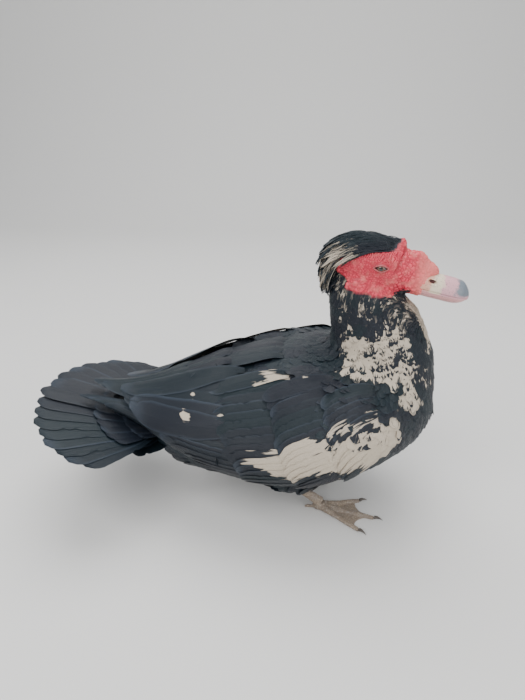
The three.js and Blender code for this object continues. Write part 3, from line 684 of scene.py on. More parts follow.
# %% Cut the face finer
FACE_CUTS = 3
FACE_RELAX = 10


def cut_face(mesh):
    """Cuts the face finer a few times, so that it can carry beads and lids, and relaxes its points."""
    for _ in range(FACE_CUTS):
        inside = face_share(points_of(mesh)) > 0.03
        form = bmesh.new()
        form.from_mesh(mesh)
        edges = [edge for edge in form.edges if all(inside[corner.index] for corner in edge.verts)]
        bmesh.ops.subdivide_edges(form, edges=edges, cuts=1, use_grid_fill=True)
        form.to_mesh(mesh)
        form.free()
    points = points_of(mesh)
    share = face_share(points)[:, None]
    relaxed = points + (neighbour_mean(mesh, points, FACE_RELAX) - points) * share
    move_points(mesh, relaxed)


cut_face(skin.data)
print("with its fine face the skin has", len(skin.data.vertices), "points")

# %% Shares of the wing
WING_GRID = [(along, across) for along in np.linspace(0, 1, 81) for across in np.linspace(0, 1, 31)]
WING_GRID_LIFT = 4

wing_trees = {}
for wing_side in (1, -1):
    tree = KDTree(len(WING_GRID))
    for number, (along, across) in enumerate(WING_GRID):
        tree.insert(sheet_point(wing_side, along, across, WING_GRID_LIFT), number)
    tree.balance()
    wing_trees[wing_side] = tree
print("places to look up on each wing:", len(WING_GRID))


def wing_shares(points):
    """For each point: the nearest shares along and across its side's wing, and how many mm off they are."""
    found = np.zeros((len(points), 3))
    for i, point in enumerate(points):
        tree = wing_trees[1 if point[1] > 0 else -1]
        _, number, apart = tree.find(point)
        found[i] = (*WING_GRID[number], apart / MM)
    return found


# %% [markdown]
# ## The white markings
# The bird is pied. A mottled bib runs from throat to breast with a sharp edge behind, a white strip runs
# down the front of the neck, a ragged band of white feathers crosses the folded wing, and white flecks
# lie over the back. Skin and feathers both ask the same functions, so that they always agree.

# %% White patches
# Along the wing, the lower and upper edge of its white band. Then white flecks and the dark slots in the
# band: shares along and up across the wing, half length and half height.
WING_PATCH = [
    (0.0, 0.30, 0.74),
    (0.05, 0.17, 0.73),
    (0.10, 0.14, 0.62),
    (0.16, 0.16, 0.57),
    (0.22, 0.20, 0.55),
    (0.29, 0.19, 0.47),
    (0.37, 0.17, 0.44),
    (0.44, 0.30, 0.40),
]
WING_FLECKS = [
    (0.36, 0.925, 0.060, 0.012),
    (0.29, 0.900, 0.050, 0.011),
    (0.33, 0.880, 0.034, 0.007),
    (0.45, 0.905, 0.050, 0.008),
    (0.61, 0.785, 0.016, 0.015),
    (0.585, 0.750, 0.016, 0.012),
    (0.46, 0.675, 0.022, 0.013),
    (0.59, 0.585, 0.016, 0.007),
    (0.57, 0.515, 0.016, 0.006),
    (0.555, 0.45, 0.014, 0.006),
]
WING_SLOTS = [
    (0.165, 0.50, 0.045, 0.030),
    (0.09, 0.52, 0.022, 0.07),
    (0.21, 0.515, 0.03, 0.03),
    (0.038, 0.69, 0.010, 0.09),
]
EDGE_SHARE = 0.045
BIB_REAR, BIB_FLOOR, BIB_TOP = 67, 50, 106
STRIP_AT, STRIP_HALF, STRIP_FLOOR = -8, 15, 58
BELLY_STREAK_AT, BELLY_STREAK_HALF = (44, -74), (24, 7)


def wing_white(along, across):
    """How white the wing is at shares along and across it: 0.5 at the edge of a patch, more inside it."""
    low, high = float(between(WING_PATCH, along, 1)), float(between(WING_PATCH, along, 2))
    inside = min(across - low, high - across, (WING_PATCH[-1][0] - along) * 1.5)
    white = 0.5 + 0.5 * inside / EDGE_SHARE
    for at, up, long, tall in WING_SLOTS:
        white = min(white, math.hypot((along - at) / long, (across - up) / tall) - 0.5)
    for at, up, long, tall in WING_FLECKS:
        apart = math.hypot((along - at) / long, (across - up) / tall)
        white = max(white, 1.15 - 0.8 * apart)
    return min(1.0, max(0.0, white))


def trunk_white(points):
    """How white the plumage of neck, breast and belly is."""
    x, y, z = local(body_frame, points).T
    clumps = ragged(points * (1, 1, 2), 15, 2) + 0.5 * ragged(points * (1, 1, 1.6), 7, 3)
    wander = 4 * ragged(points, 12, 4)
    bib = smooth_step(x - BIB_REAR - 0.1 * (z - 70) + wander, -1.5, 1.5)
    bib *= smooth_step(z - BIB_FLOOR + 0.6 * (x - 76) + wander, -1.5, 1.5)
    above = smooth_step(z, BIB_TOP - 14, BIB_TOP + 2)
    streaks = ragged(points * (1.8, 1.8, 0.5), 5, 7) - 0.32
    front = smooth_step(x, 134, 147) * (1 - above)
    mixed_up = (clumps + 0.30 - 0.75 * front) * (1 - above) + streaks * above
    mottled = bib * np.clip(0.5 + 1.5 * mixed_up, 0, 1)
    strip = smooth_step(STRIP_HALF - np.abs(y - STRIP_AT), 0, 4) * smooth_step(x, 124, 132)
    strip *= smooth_step(z, STRIP_FLOOR, STRIP_FLOOR + 8) * smooth_step(BIB_TOP + 8 - z, 0, 8)
    from_streak = np.abs(z - BELLY_STREAK_AT[1] + 0.25 * (x - 40))
    streak = smooth_step(BELLY_STREAK_HALF[1] - from_streak, 0, 3)
    streak = streak * smooth_step(BELLY_STREAK_HALF[0] - np.abs(x - BELLY_STREAK_AT[0]), 0, 6)
    return np.clip(np.maximum.reduce([mottled, strip, 0.9 * streak * (np.abs(y) > 30)]), 0, 1)


def crest_white(points):
    """How white the crest is: pale streaks among the black on its sides and towards the nape."""
    x, y, z = local(head_frame, points).T
    sides = smooth_step(np.abs(y), 4, 12) * smooth_step(-x, -8, 10) * smooth_step(30 - z, 0, 8)
    return 0.52 * sides * smooth_step(z, -20, -8) * smooth_step(ragged(points, 12, 6), -0.6, 0.1)


print("white flecks on each wing:", len(WING_FLECKS))

# %% Coats and bends
COATS = {"covered": -1, "bare": 0, "head": 1, "neck": 2, "breast": 3, "body": 4, "wing": 5, "crest": 6}
HEAD_END, NECK_END, BREAST_END = 3.0, 4.2, 6.0
CREST_END = HEAD_END + 0.6
WING_FEATHER = 19
WING_COAT_DEPTH = 0.6
CREST_LENGTHS = [(-40, 36), (-30, 34), (-15, 28), (5, 25), (35, 20)]
BEND_REACH, STEEPEST_DOWN, STEEPEST_UP = 0.8, -0.7, 0.4


def unwrapped(points):
    """The place of points on an unwrap of the skin: along the line through the bird and round it."""
    place, way, middle = along_spine(points)
    out = points - middle
    up = np.cross(way, np.array([0, 1, 0]))
    turn = np.arctan2(out[:, 1], (out * up).sum(axis=1))
    return np.stack([0.03 + 0.94 * place / 12, 0.5 + 0.47 * turn / math.pi, np.zeros(len(points))], axis=1)


def bends(mesh, points, flow, size):
    """The angle by which the skin rises or falls away under each feather, for it to lie along the bend."""
    faces = [tuple(face.vertices) for face in mesh.polygons]
    tree = BVHTree.FromPolygons([Vector(p) for p in points], faces)
    angles = np.zeros(len(points))
    for i, (point, way, length) in enumerate(zip(points, flow, size)):
        reach = Vector(point + way * length * MM * BEND_REACH)
        spot, normal, _, _ = tree.find_nearest(reach)
        over = (reach - spot).dot(normal) / (length * MM * BEND_REACH)
        angles[i] = math.asin(max(STEEPEST_DOWN, min(STEEPEST_UP, -over))) * (1.1 if over < 0 else 0.5)
    return neighbour_mean(mesh, angles[:, None], 3)[:, 0]


def coats_of(place, shares, on_wing, crest, bare):
    """Which coat each point of the skin has."""
    coat = np.select(
        [place < HEAD_END, place < NECK_END, place < BREAST_END],
        [COATS["head"], COATS["neck"], COATS["breast"]],
        COATS["body"],
    ).astype(float)
    coat[on_wing] = COATS["wing"]
    along, across, apart = shares.T
    coat[(apart < 17) & (np.abs(along - 0.52) < 0.28) & (np.abs(across - 0.5) < 0.44)] = COATS["covered"]
    coat[crest] = COATS["crest"]
    coat[bare > 0.5] = COATS["bare"]
    return coat


# %% What the skin tells the feathers


def mark_skin(mesh):
    """Stores on the skin all that the feathers ask it, and gives how deep the coat is at each point."""
    points, normals = points_of(mesh), points_of(mesh, "normal")
    place, way, _ = along_spine(points)
    heads = local(head_frame, points)
    flow = laid_flat(neighbour_mean(mesh, laid_flat(way, normals), 24), normals)
    size = np.interp(place, *zip(*FEATHER_LENGTHS))
    bare = face_share(points)
    shares = wing_shares(points)
    on_wing = (shares[:, 2] < 11) & (shares[:, 0] > 0.004) & (shares[:, 0] < 0.55)
    crest = on_crest(points) & (place < CREST_END)
    white = trunk_white(points)
    white[on_wing] = [wing_white(along, across) for along, across, _ in shares[on_wing]]
    white[crest] = crest_white(points[crest])
    coat = coats_of(place, shares, on_wing, crest, bare)
    size[on_wing] = WING_FEATHER
    size[crest] = np.interp(heads[crest, 0], *zip(*CREST_LENGTHS))
    size[crest] *= 0.6 + 0.4 * smooth_step(heads[crest, 2], -26, 2)
    nape = smooth_step(-heads[:, 0], 18, 34) * smooth_step(12 - heads[:, 2], 0, 16)
    rise = np.where(crest, 0.42 + 0.5 * nape, 1.0)
    tipped = (coat == COATS["neck"]) | (coat == COATS["breast"])
    for name, values in {
        "flow": flow, "size": size, "bare": bare, "white": white, "unwrap": unwrapped(points), "coat": coat,
        "rise": rise, "tipped": tipped, "spot": heads, "lift": bends(mesh, points, flow, size),
    }.items():
        store(mesh, name, values)
    return np.interp(place, *zip(*COAT_DEPTHS)) * (1 - bare) * np.where(on_wing, WING_COAT_DEPTH, 1)


coat_depth = mark_skin(skin.data)
inward = points_of(skin.data, "normal") * neighbour_mean(skin.data, coat_depth[:, None], 6) * MM
move_points(skin.data, points_of(skin.data) - inward)
print("points of bare face:", int((coat_depth < 0.01).sum()))
print("the skin lies up to", round(float(coat_depth.max()), 1), "mm inside the plumage")

# %% [markdown]
# ## The face
# The bare skin is worked like clay. Small beads cover it and grow larger towards the knob, folds stand
# over the brow, and a crease runs down before the forehead. Round each eye the skin rises into two lids
# with an almond opening, and inside the opening it sinks behind the eyeball.

# %% Beads and folds
BEADS = [
    {"across": 2.6, "high": 0.45, "seed": 11},
    {"across": 4.2, "high": 0.95, "seed": 12},
]
FOLD_HIGH, FOLD_APART = 0.9, 4.4
CREASE_AT, CREASE_HALF, CREASE_DEEP = 29, 2.6, 1.3
OPENING_HALF, OPENING_UP, OPENING_DOWN = 6.8, 3.1, 2.5
OPENING_TILT = 0.12


def beads(points, across, seed):
    """Domes packed like pebbles: 1 on their tops and 0 in the furrows between them."""
    shift = Vector((seed, seed * 2, seed * 3))
    near = np.array([noise.voronoi(Vector(p) / (across * MM) + shift)[0][:2] for p in points])
    return smooth_step(near[:, 1] - near[:, 0], 0.02, 0.55)


def outside_opening(x, z):
    """How many millimetres a place of the head lies outside the opening between the lids. Inside it is
    negative."""
    along = (x - EYE_AT[0]) / OPENING_HALF
    high = z - EYE_AT[2] - OPENING_TILT * (x - EYE_AT[0])
    tall = np.where(high > 0, OPENING_UP, OPENING_DOWN)
    return np.maximum(np.abs(high) - tall * (1 - along**2), (np.abs(along) - 1) * OPENING_HALF)


def face_relief(points, bare):
    """How high the beads, folds and crease of the bare face stand at each point, in millimetres."""
    x, _, z = local(head_frame, points).T
    knob = smooth_step(x, 24, 38) * (1 - 0.45 * smooth_step(x, 42, 52))
    large = np.clip(knob + 0.6 * smooth_step(-z, 6, 18) + 0.5 * smooth_step(-x, 6, 20), 0, 1)
    small_beads, large_beads = (beads(points, row["across"], row["seed"]) for row in BEADS)
    relief = BEADS[0]["high"] * small_beads * (1 - 0.5 * large) + BEADS[1]["high"] * large_beads * large
    brow = smooth_step(z, 9, 12) * smooth_step(25 - z, 0, 4) * smooth_step(20 - np.abs(x - 10), 0, 6)
    folds = np.sin((x + 2.5 * ragged(points, 6, 13)) * 2 * math.pi / FOLD_APART) ** 2
    relief += brow * FOLD_HIGH * (folds - 0.4)
    crease = smooth_step(CREASE_HALF - np.abs(x - CREASE_AT - 0.2 * z), 0, CREASE_HALF)
    relief -= CREASE_DEEP * (crease * smooth_step(z, -2, 6))
    return relief * (smooth_step(outside_opening(x, z), 1.5, 5.0) * bare)


# %% Lids
EYE_RADIUS = 6.4
LID_THICK = 0.9
LID_RIM = 0.35
LID_FOLDS = [(2.4, 0.55), (4.0, 0.4), (5.6, 0.25)]
FOLD_HALF = 0.7
BEHIND_BALL = 1.4


def softly_higher(first, second, softness):
    """The greater of two heights, with a rounded join."""
    blend = np.clip(0.5 + 0.5 * (second - first) / softness, 0, 1)
    return first + (second - first) * blend + softness * blend * (1 - blend)


def with_lids(points):
    """Points of the face with the lids raised and the skin sunk behind the ball, and each one's share of lid."""
    x, y, z = local(head_frame, points).T
    out = np.abs(y)
    from_eye = np.hypot(x - EYE_AT[0], z - EYE_AT[2])
    from_lids = outside_opening(x, z)
    ball = np.sqrt(np.maximum(0, EYE_RADIUS**2 - from_eye**2))
    cover = np.sqrt(np.maximum(0, (EYE_RADIUS + LID_THICK) ** 2 - from_eye**2))
    cover += LID_RIM * smooth_step(1.3 - from_lids, 0, 1.0)
    lids = softly_higher(out, EYE_AT[1] + cover, 0.8)
    for at, deep in LID_FOLDS:
        lids -= deep * smooth_step(FOLD_HALF - np.abs(from_lids - at), 0, FOLD_HALF)
    sunk = np.minimum(out, EYE_AT[1] + ball - BEHIND_BALL)
    opened = smooth_step(-from_lids, -0.15, 0.2)
    near_eye = smooth_step(11 - from_eye, 0, 2.5)
    cheek = (np.abs(z - EYE_AT[2]) < 14) & (out > 12)
    out = np.where(cheek, out + near_eye * (lids + (sunk - lids) * opened - out), out)
    turn = np.array(head_frame)
    placed = (np.stack([x, np.sign(y) * out, z], axis=1) @ turn[:3, :3].T + turn[:3, 3]) * MM
    return placed, smooth_step(2.2 - from_lids, 0, 1.4) * cheek


def sculpt_face(mesh):
    """Gives the bare face its relief and lids, stores both, and tells how many points it has."""
    points = points_of(mesh)
    bare = face_share(points)
    chosen = np.flatnonzero(bare > 0.02)
    relief, lid = np.zeros(len(points)), np.zeros(len(points))
    relief[chosen] = face_relief(points[chosen], bare[chosen])
    formed = points + points_of(mesh, "normal") * relief[:, None] * MM
    points[chosen], lid[chosen] = with_lids(formed[chosen])
    move_points(mesh, points)
    store(mesh, "relief", relief)
    store(mesh, "lid", lid)
    return len(chosen)


print("points of the sculpted face:", sculpt_face(skin.data))

# %% The eyeballs
CORNEA_HIGH, CORNEA_EDGE = 0.035, 0.62


def eyeball(side):
    """An eyeball with a raised cornea. It stores how far each point is from the middle of the iris."""
    form = bmesh.new()
    bmesh.ops.create_uvsphere(form, u_segments=48, v_segments=32, radius=1)
    mesh = mesh_of(form, "eye")
    unit = points_of(mesh)
    gaze = np.hypot(unit[:, 0], unit[:, 1]) + 2 * (unit[:, 2] < 0)
    unit *= 1 + CORNEA_HIGH * smooth_step(CORNEA_EDGE - gaze, 0, 0.3)[:, None]
    x, y, z = EYE_AT
    move_points(mesh, [
        in_head(x + EYE_RADIUS * p[0], side * (y + EYE_RADIUS * p[2]), z + EYE_RADIUS * p[1]) for p in unit
    ])
    if side < 0:
        mesh.flip_normals()
    store(mesh, "gaze", gaze)
    mesh.shade_smooth()
    return as_object("eyeball_left" if side > 0 else "eyeball_right", mesh)


eyes = [eyeball(side) for side in (1, -1)]
print("each eyeball has", len(eyes[0].data.vertices), "points")

# %% [markdown]
# ## The bill
# Each half of the bill is one closed loft through the same sizes as its solid, drawn much finer. The
# upper half carries the nostrils, a rounded lip along the mouth and the horny nail at its tip.

# %% The two halves of the bill
BILL_FROM, BILL_TO, BILL_ROUND = 36, 112, 10
BILL_RINGS, BILL_AROUND = 120, 72
LIP_UP, LIP_WIDE, LIP_OUT = 1.6, 1.3, 0.7
GROOVE_UP, GROOVE_WIDE, GROOVE_IN = 4.6, 1.4, 0.45
NAIL_FROM, NAIL_HALF, NAIL_HIGH, NAIL_GROOVE = 98, 6.2, 0.7, 0.3
NOSTRIL_AT, NOSTRIL_HALF, NOSTRIL_UP = (70, -0.5), 4.4, 1.9
NOSTRIL_DEEP, NOSTRIL_RIM = 0.30, 0.25
MOUTH_GAP = 0.5
LOWER_INSET = 1.2


def soft(value, low, high):
    """The soft step of one number."""
    return float(smooth_step(value, low, high))


def bell(value, middle, wide):
    """1 at the middle, and less to both sides of it."""
    return math.exp(-((value - middle) / wide) ** 2)


def from_nostril(x, z):
    """How far a place on the bill lies from the middle of the nostril: 1 on its rim."""
    return np.hypot((x - NOSTRIL_AT[0]) / NOSTRIL_HALF, (z - NOSTRIL_AT[1]) / NOSTRIL_UP)


def horn(place, y, z, steep, tip, upper):
    """A place on the outside of the bill, with the lip, the groove over it and the nail."""
    lip = LIP_OUT * bell(z, LIP_UP, LIP_WIDE) - GROOVE_IN * bell(z, GROOVE_UP, GROOVE_WIDE)
    y += math.copysign(lip * tip, y) * min(1, steep * 2)
    if upper:
        z += NAIL_HIGH * soft(place, NAIL_FROM, NAIL_FROM + 3) * soft(NAIL_HALF - abs(y), 0, 1.2) * tip
    z -= NAIL_GROOVE * soft(1.1 - abs(abs(y) - 6.3), 0, 1) * soft(place, 96, 99)
    return y, z


def bill_half(upper):
    """One half of the bill as a closed mesh. Its mouth side is flat."""
    rings = []
    for place in np.linspace(BILL_FROM, BILL_TO, BILL_RINGS):
        half, up, down, mouth = bill_sizes(min(place, BILL[-1][0]))
        half -= 0 if upper else LOWER_INSET
        into_tip = max(0.0, (place - BILL_TO + BILL_ROUND) / BILL_ROUND)
        tip = math.sqrt(max(0.02, 1 - into_tip**2))
        half *= 0.25 + 0.75 * tip
        ring = []
        for turn in circle(BILL_AROUND):
            high = math.sin(turn) if upper else -math.sin(turn)
            y, z = half * math.cos(turn), 0
            if high > 0:
                y, z = horn(place, y, (up if upper else down) * tip * high, abs(math.cos(turn)), tip, upper)
            if upper:
                apart = from_nostril(place, mouth + z)
                pit = soft(1.15 - apart, 0, 0.4) - NOSTRIL_RIM * soft(0.35 - abs(apart - 1.35), 0, 0.35)
                y *= 1 - NOSTRIL_DEEP * pit * min(1, z / 3)
            ring.append(in_head(place, y, mouth + z if upper else mouth - MOUTH_GAP - z))
        rings.append(ring)
    form = bmesh.new()
    add_loft(form, rings)
    bmesh.ops.recalc_face_normals(form, faces=form.faces)
    mesh = mesh_of(form, "bill")
    spots = local(head_frame, points_of(mesh))
    store(mesh, "spot", spots)
    store(mesh, "nostril", smooth_step(0.95 - from_nostril(spots[:, 0], spots[:, 2]), 0, 0.3))
    shade_vanes(mesh)
    return as_object("bill_half_upper" if upper else "bill_half_lower", mesh)


bill_pieces = [bill_half(True), bill_half(False)]
print("each half of the bill has", len(bill_pieces[0].data.vertices), "points")

# %% [markdown]
# ## The feet
# Shank and webbed foot become one soft skin with small scales on it. The claws are rounded from their
# solids.

# %% Feet and claws
FOOT_VOXEL, FOOT_ROUNDS = 0.9, 5
CLAW_VOXEL, CLAW_ROUNDS = 0.5, 4
SCALES_ACROSS, SCALES_HIGH = 2.4, 0.32


def merged(nodes, name, voxel, rounds):
    """One smooth piece from a few solids that meet."""
    form = bmesh.new()
    for node_name in nodes:
        form.from_mesh(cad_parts[node_name].data)
    bmesh.ops.remove_doubles(form, verts=form.verts, dist=1e-6)
    piece = remeshed(as_object(f"{name}_form", mesh_of(form, name)), name, voxel, rounds)
    piece.data.materials.clear()
    piece.data.shade_smooth()
    return piece


def add_scales(mesh):
    """Raises small scales on a foot, but not under its sole."""
    points = points_of(mesh)
    # The stored scales are 0 in the furrows and on the sole, where the material paints shade.
    scales = beads(points, SCALES_ACROSS, 21) * smooth_step(points[:, 2], 0.0008, 0.0025)
    move_points(mesh, points + points_of(mesh, "normal") * (scales * SCALES_HIGH * MM)[:, None])
    store(mesh, "scales", scales)


feet, claws = {}, {}
for side_name in ("left", "right"):
    foot_nodes = [f"shank_{side_name}", f"foot_{side_name}"]
    claw_nodes = [f"claw_{side_name}_{number}" for number in (1, 2, 3)]
    feet[side_name] = merged(foot_nodes, f"webbed_foot_{side_name}", FOOT_VOXEL, FOOT_ROUNDS)
    claws[side_name] = merged(claw_nodes, f"claws_{side_name}", CLAW_VOXEL, CLAW_ROUNDS)
    add_scales(feet[side_name].data)
    print(side_name, "foot has", len(feet[side_name].data.vertices), "points")


# %% [markdown]
# ## One feather
# A feather is a thin vane with a raised shaft. A row across it holds the points of its upper side from
# edge to edge and one point under the shaft, so the vane is a closed lens with sharp edges. Each carries
# the shares across and along itself, which the material turns into barbs, and its root's place, which
# gives it the markings.


# %% The outline of a feather


def feather_width(share, pointed):
    """How wide a feather is along its length, as a share of its greatest width. Pointed is blunt below 0."""
    root = 0.34 + 0.66 * min(1, share / 0.42) ** 0.8
    tip_start = 0.70 - 0.34 * pointed
    into_tip = max(0.0, (share - tip_start) / (1 - tip_start))
    return root * math.sqrt(max(0.0, 1 - into_tip**2 * (0.94 + 0.04 * pointed)))


def feather_faces(rows, around, first):
    """The faces of a vane whose rows hold so many points each, the last of them under the shaft."""
    faces = []
    for row in range(rows - 1):
        here = first + around * row
        for part in range(around):
            after = (part + 1) % around
            faces.append((here + part, here + after, here + around + after, here + around + part))
    faces.append(tuple(first + part for part in reversed(range(around))))
    last = first + around * (rows - 1)
    faces.append(tuple(last + part for part in range(around)))
    return faces


def closed_mesh(name, points, faces):
    """A mesh of closed vanes whose faces all look outwards."""
    mesh = bpy.data.meshes.new(name)
    mesh.from_pydata(points, [], faces)
    form = bmesh.new()
    form.from_mesh(mesh)
    bmesh.ops.recalc_face_normals(form, faces=form.faces)
    form.to_mesh(mesh)
    form.free()
    return mesh


# %% Small feathers to scatter
FEATHER_KINDS = {
    "contour": {"width": 0.74, "pointed": -0.1, "rows": 7, "arch": 0.05, "ridge": 0.018, "cup": 0.07,
                "droop": 0.02},
    "velvet": {"width": 0.40, "pointed": 0.6, "rows": 5, "arch": 0.06, "ridge": 0.02, "cup": 0.05,
               "droop": 0.02},
    "crest": {"width": 0.115, "pointed": 0.7, "rows": 8, "arch": 0.14, "ridge": 0.010, "cup": 0.03,
              "droop": 0.24},
}
VARIANTS = 6
SWEEP, TWIST = 0.08, 0.03
UNDER_SHAFT = 0.010


def small_feather(kind, number):
    """A feather one metre long along +X with its root at the origin, to be scaled where it is set."""
    shape = FEATHER_KINDS[kind]
    luck = random.Random(1000 + number)
    sweep = luck.uniform(-SWEEP, SWEEP)
    twist = luck.uniform(-TWIST, TWIST)
    points, shares = [], []
    for row in range(shape["rows"]):
        along = row / (shape["rows"] - 1)
        half = 0.5 * shape["width"] * max(0.08, feather_width(along, shape["pointed"]))
        left, right = (half * luck.uniform(0.88, 1.06) for _ in range(2))
        middle = sweep * along**2
        bow = math.sin(math.pi * along * 0.8) - 0.35 * along
        height = shape["arch"] * bow - shape["droop"] * along**2
        drop = shape["cup"] * half / (0.5 * shape["width"])
        points += [
            (along, middle + left, height - drop + twist * along),
            (along, middle, height + shape["ridge"] * (1 - 0.7 * along)),
            (along, middle - right, height - drop - twist * along),
            (along, middle, height - UNDER_SHAFT - shape["ridge"] * 0.3),
        ]
        shares += [(1, along, 0), (0, along, 0), (-1, along, 0), (0, along, 0)]
    mesh = closed_mesh(f"{kind}_{number}", points, feather_faces(shape["rows"], 4, 0))
    store(mesh, "vane", np.array(shares))
    shade_vanes(mesh)
    return bpy.data.objects.new(f"{kind}_{number}", mesh)


def feather_set(kind):
    """A collection of a few unlike feathers of one kind. It stays out of the scene."""
    collection = bpy.data.collections.new(kind)
    for number in range(VARIANTS):
        collection.objects.link(small_feather(kind, number))
    return collection


feather_sets = {kind: feather_set(kind) for kind in FEATHER_KINDS}
print("feather kinds:", list(feather_sets))

# %% [markdown]
# ## A coat of feathers
# A feather tract is a rule, so Geometry Nodes grow it. Points are spread over the part of the skin that
# has this coat, none nearer to another than the spacing. On each stands a feather, turned along the flow,
# raised by a few degrees, and as long as the skin says. The nodes end by making them one real mesh with
# an OFBake map, in which each feather is a patch of three thousandths at its root's place on the
# unwrapped skin.

# %% Steps for a geometry tree


class Tract(Nodes):
    """A geometry tree, with the steps that a coat of feathers needs."""

    def read(self, name, kind="FLOAT"):
        """A named attribute of the geometry."""
        return self.out("GeometryNodeInputNamedAttribute", {"data_type": kind}, Name=name)

    def vectors(self, operation, first, second):
        """Arithmetic on vectors."""
        return self.math(operation, first, second, kind="ShaderNodeVectorMath")

    def chance(self, kind, seed, offset, low, high):
        """A random number for each point."""
        shifted = self.plus(seed, offset)
        return self.out("FunctionNodeRandomValue", {"data_type": kind}, Min=low, Max=high, Seed=shifted)

    def turned(self, rotation, axis, angle):
        """A rotation turned further about its own axis by an angle in radians."""
        extra = self.out("FunctionNodeAxisAngleToRotation", Axis=axis, Angle=angle)
        about = {"rotation_space": "LOCAL"}
        return self.out("FunctionNodeRotateRotation", about, Rotation=rotation, Rotate_By=extra)

    def stored(self, geometry, name, value, kind, domain="POINT"):
        """The geometry with one more attribute."""
        filled = {"Geometry": geometry, "Name": name, "Value": value}
        return self.out("GeometryNodeStoreNamedAttribute", {"data_type": kind, "domain": domain}, **filled)


# %% The tree that grows a coat
PATCH = 0.003
POINTS_TRIED = 4.0
LENGTH_LUCK, RISE_LUCK = (0.86, 1.14), (-1.25, -0.75)
COAT_INPUTS = [
    ("Geometry", "NodeSocketGeometry"),
    ("Coat", "NodeSocketFloat"),
    ("Feathers", "NodeSocketCollection"),
    ("Spacing", "NodeSocketFloat"),
    ("Rise", "NodeSocketFloat"),
    ("Sink", "NodeSocketFloat"),
    ("Spread", "NodeSocketFloat"),
    ("Seed", "NodeSocketInt"),
    ("Material", "NodeSocketMaterial"),
]


def coat_tree():
    """Grows the feathers of one coat from a marked skin."""
    tree = bpy.data.node_groups.new("coat of feathers", "GeometryNodeTree")
    for name, kind in COAT_INPUTS:
        tree.interface.new_socket(name, in_out="INPUT", socket_type=kind)
    tree.interface.new_socket("Geometry", in_out="OUTPUT", socket_type="NodeSocketGeometry")
    given = tree.nodes.new("NodeGroupInput").outputs
    tract = Tract(tree)
    seed = given["Seed"]

    apart = tract.math("ABSOLUTE", tract.minus(tract.read("coat"), given["Coat"]))
    spread = tract.add(
        "GeometryNodeDistributePointsOnFaces",
        {"distribute_method": "POISSON"},
        Mesh=given["Geometry"],
        Selection=tract.math("LESS_THAN", apart, 0.5),
        Distance_Min=given["Spacing"],
        Density_Max=tract.math("DIVIDE", POINTS_TRIED, tract.times(given["Spacing"], given["Spacing"])),
        Seed=seed,
    ).outputs
    standing = tract.out(
        "FunctionNodeAxesToRotation",
        {"primary_axis": "Z", "secondary_axis": "X"},
        Primary_Axis=spread["Normal"],
        Secondary_Axis=tract.read("flow", "FLOAT_VECTOR"),
    )
    aside = tract.times(given["Spread"], tract.chance("FLOAT", seed, 1, -1.0, 1.0))
    lifted = tract.plus(tract.times(given["Rise"], tract.read("rise")), tract.read("lift"))
    raised = tract.times(lifted, tract.chance("FLOAT", seed, 2, *RISE_LUCK))
    rotation = tract.turned(tract.turned(standing, (0, 0, 1), aside), (0, 1, 0), raised)

    points = tract.stored(spread["Points"], "root", tract.out("GeometryNodeInputPosition"), "FLOAT_VECTOR")
    points = tract.stored(points, "luck", tract.chance("FLOAT", seed, 3, 0.0, 1.0), "FLOAT")
    inwards = tract.vectors("SCALE", spread["Normal"], tract.times(given["Sink"], -1.0))
    points = tract.out("GeometryNodeSetPosition", Geometry=points, Offset=inwards)
    long = tract.times(tract.times(tract.read("size"), MM), tract.chance("FLOAT", seed, 4, *LENGTH_LUCK))
    feathers = tract.out(
        "GeometryNodeCollectionInfo",
        Collection=given["Feathers"],
        Separate_Children=True,
        Reset_Children=True,
    )
    placed = tract.out(
        "GeometryNodeInstanceOnPoints",
        Points=points,
        Instance=feathers,
        Pick_Instance=True,
        Instance_Index=tract.chance("INT", seed, 5, 0, VARIANTS - 1),
        Rotation=rotation,
        Scale=tract.out("ShaderNodeCombineXYZ", X=long, Y=long, Z=long),
    )
    real = tract.out("GeometryNodeRealizeInstances", Geometry=placed)
    patch = tract.vectors("SCALE", tract.read("vane", "FLOAT_VECTOR"), PATCH / 2)
    spot = tract.vectors("ADD", tract.read("unwrap", "FLOAT_VECTOR"), patch)
    mapped = tract.stored(real, "OFBake", spot, "FLOAT2", "CORNER")
    dressed = tract.out("GeometryNodeSetMaterial", Geometry=mapped, Material=given["Material"])
    tree.links.new(dressed, tree.nodes.new("NodeGroupOutput").inputs["Geometry"])
    return tree


coat_nodes = coat_tree()
print("the tree that grows a coat has", len(coat_nodes.nodes), "nodes")


# %% Growing one coat


def grown(name, source, tree, **values):
    """A plain mesh object from what a node tree makes of a copy of an object. Values are inputs by name."""
    made = as_object(name, source.data.copy())
    modifier = made.modifiers.new(name, "NODES")
    modifier.node_group = tree
    identifiers = {
        item.name: item.identifier
        for item in tree.interface.items_tree
        if item.item_type == "SOCKET" and item.in_out == "INPUT"
    }
    for key, value in values.items():
        modifier[identifiers[key]] = value
    return baked(made, name)


# %% [markdown]
# ## Plumage
# The dark feathers are black with a cold blue and green gloss, and the white ones are a warm cream. One
# material serves every feather: the markings come from the root, the barbs run out from the shaft towards
# the tip, and each feather is a little lighter along its edge, partly wear and partly painted highlight,
# which draws its outline against the next. The green of the gloss is painted sheen, in patches.

# %% The feather material
BLACK_COLD = (0.009, 0.012, 0.019)
BLACK_GREEN = (0.007, 0.015, 0.020)
# The colour of the lighter feather edges: painted highlight, partly wear.
BLACK_EDGE = (0.030, 0.042, 0.060)
CREAM = (0.57, 0.49, 0.385)
# A darker cream: the barb stripes and specks of white feathers, and painted shade on the skin between them.
CREAM_STRIPES_AND_SHADE = (0.33, 0.28, 0.215)
BARBS = 46
SMALL_BARBS = 18
BARB_SLANT = 1.6


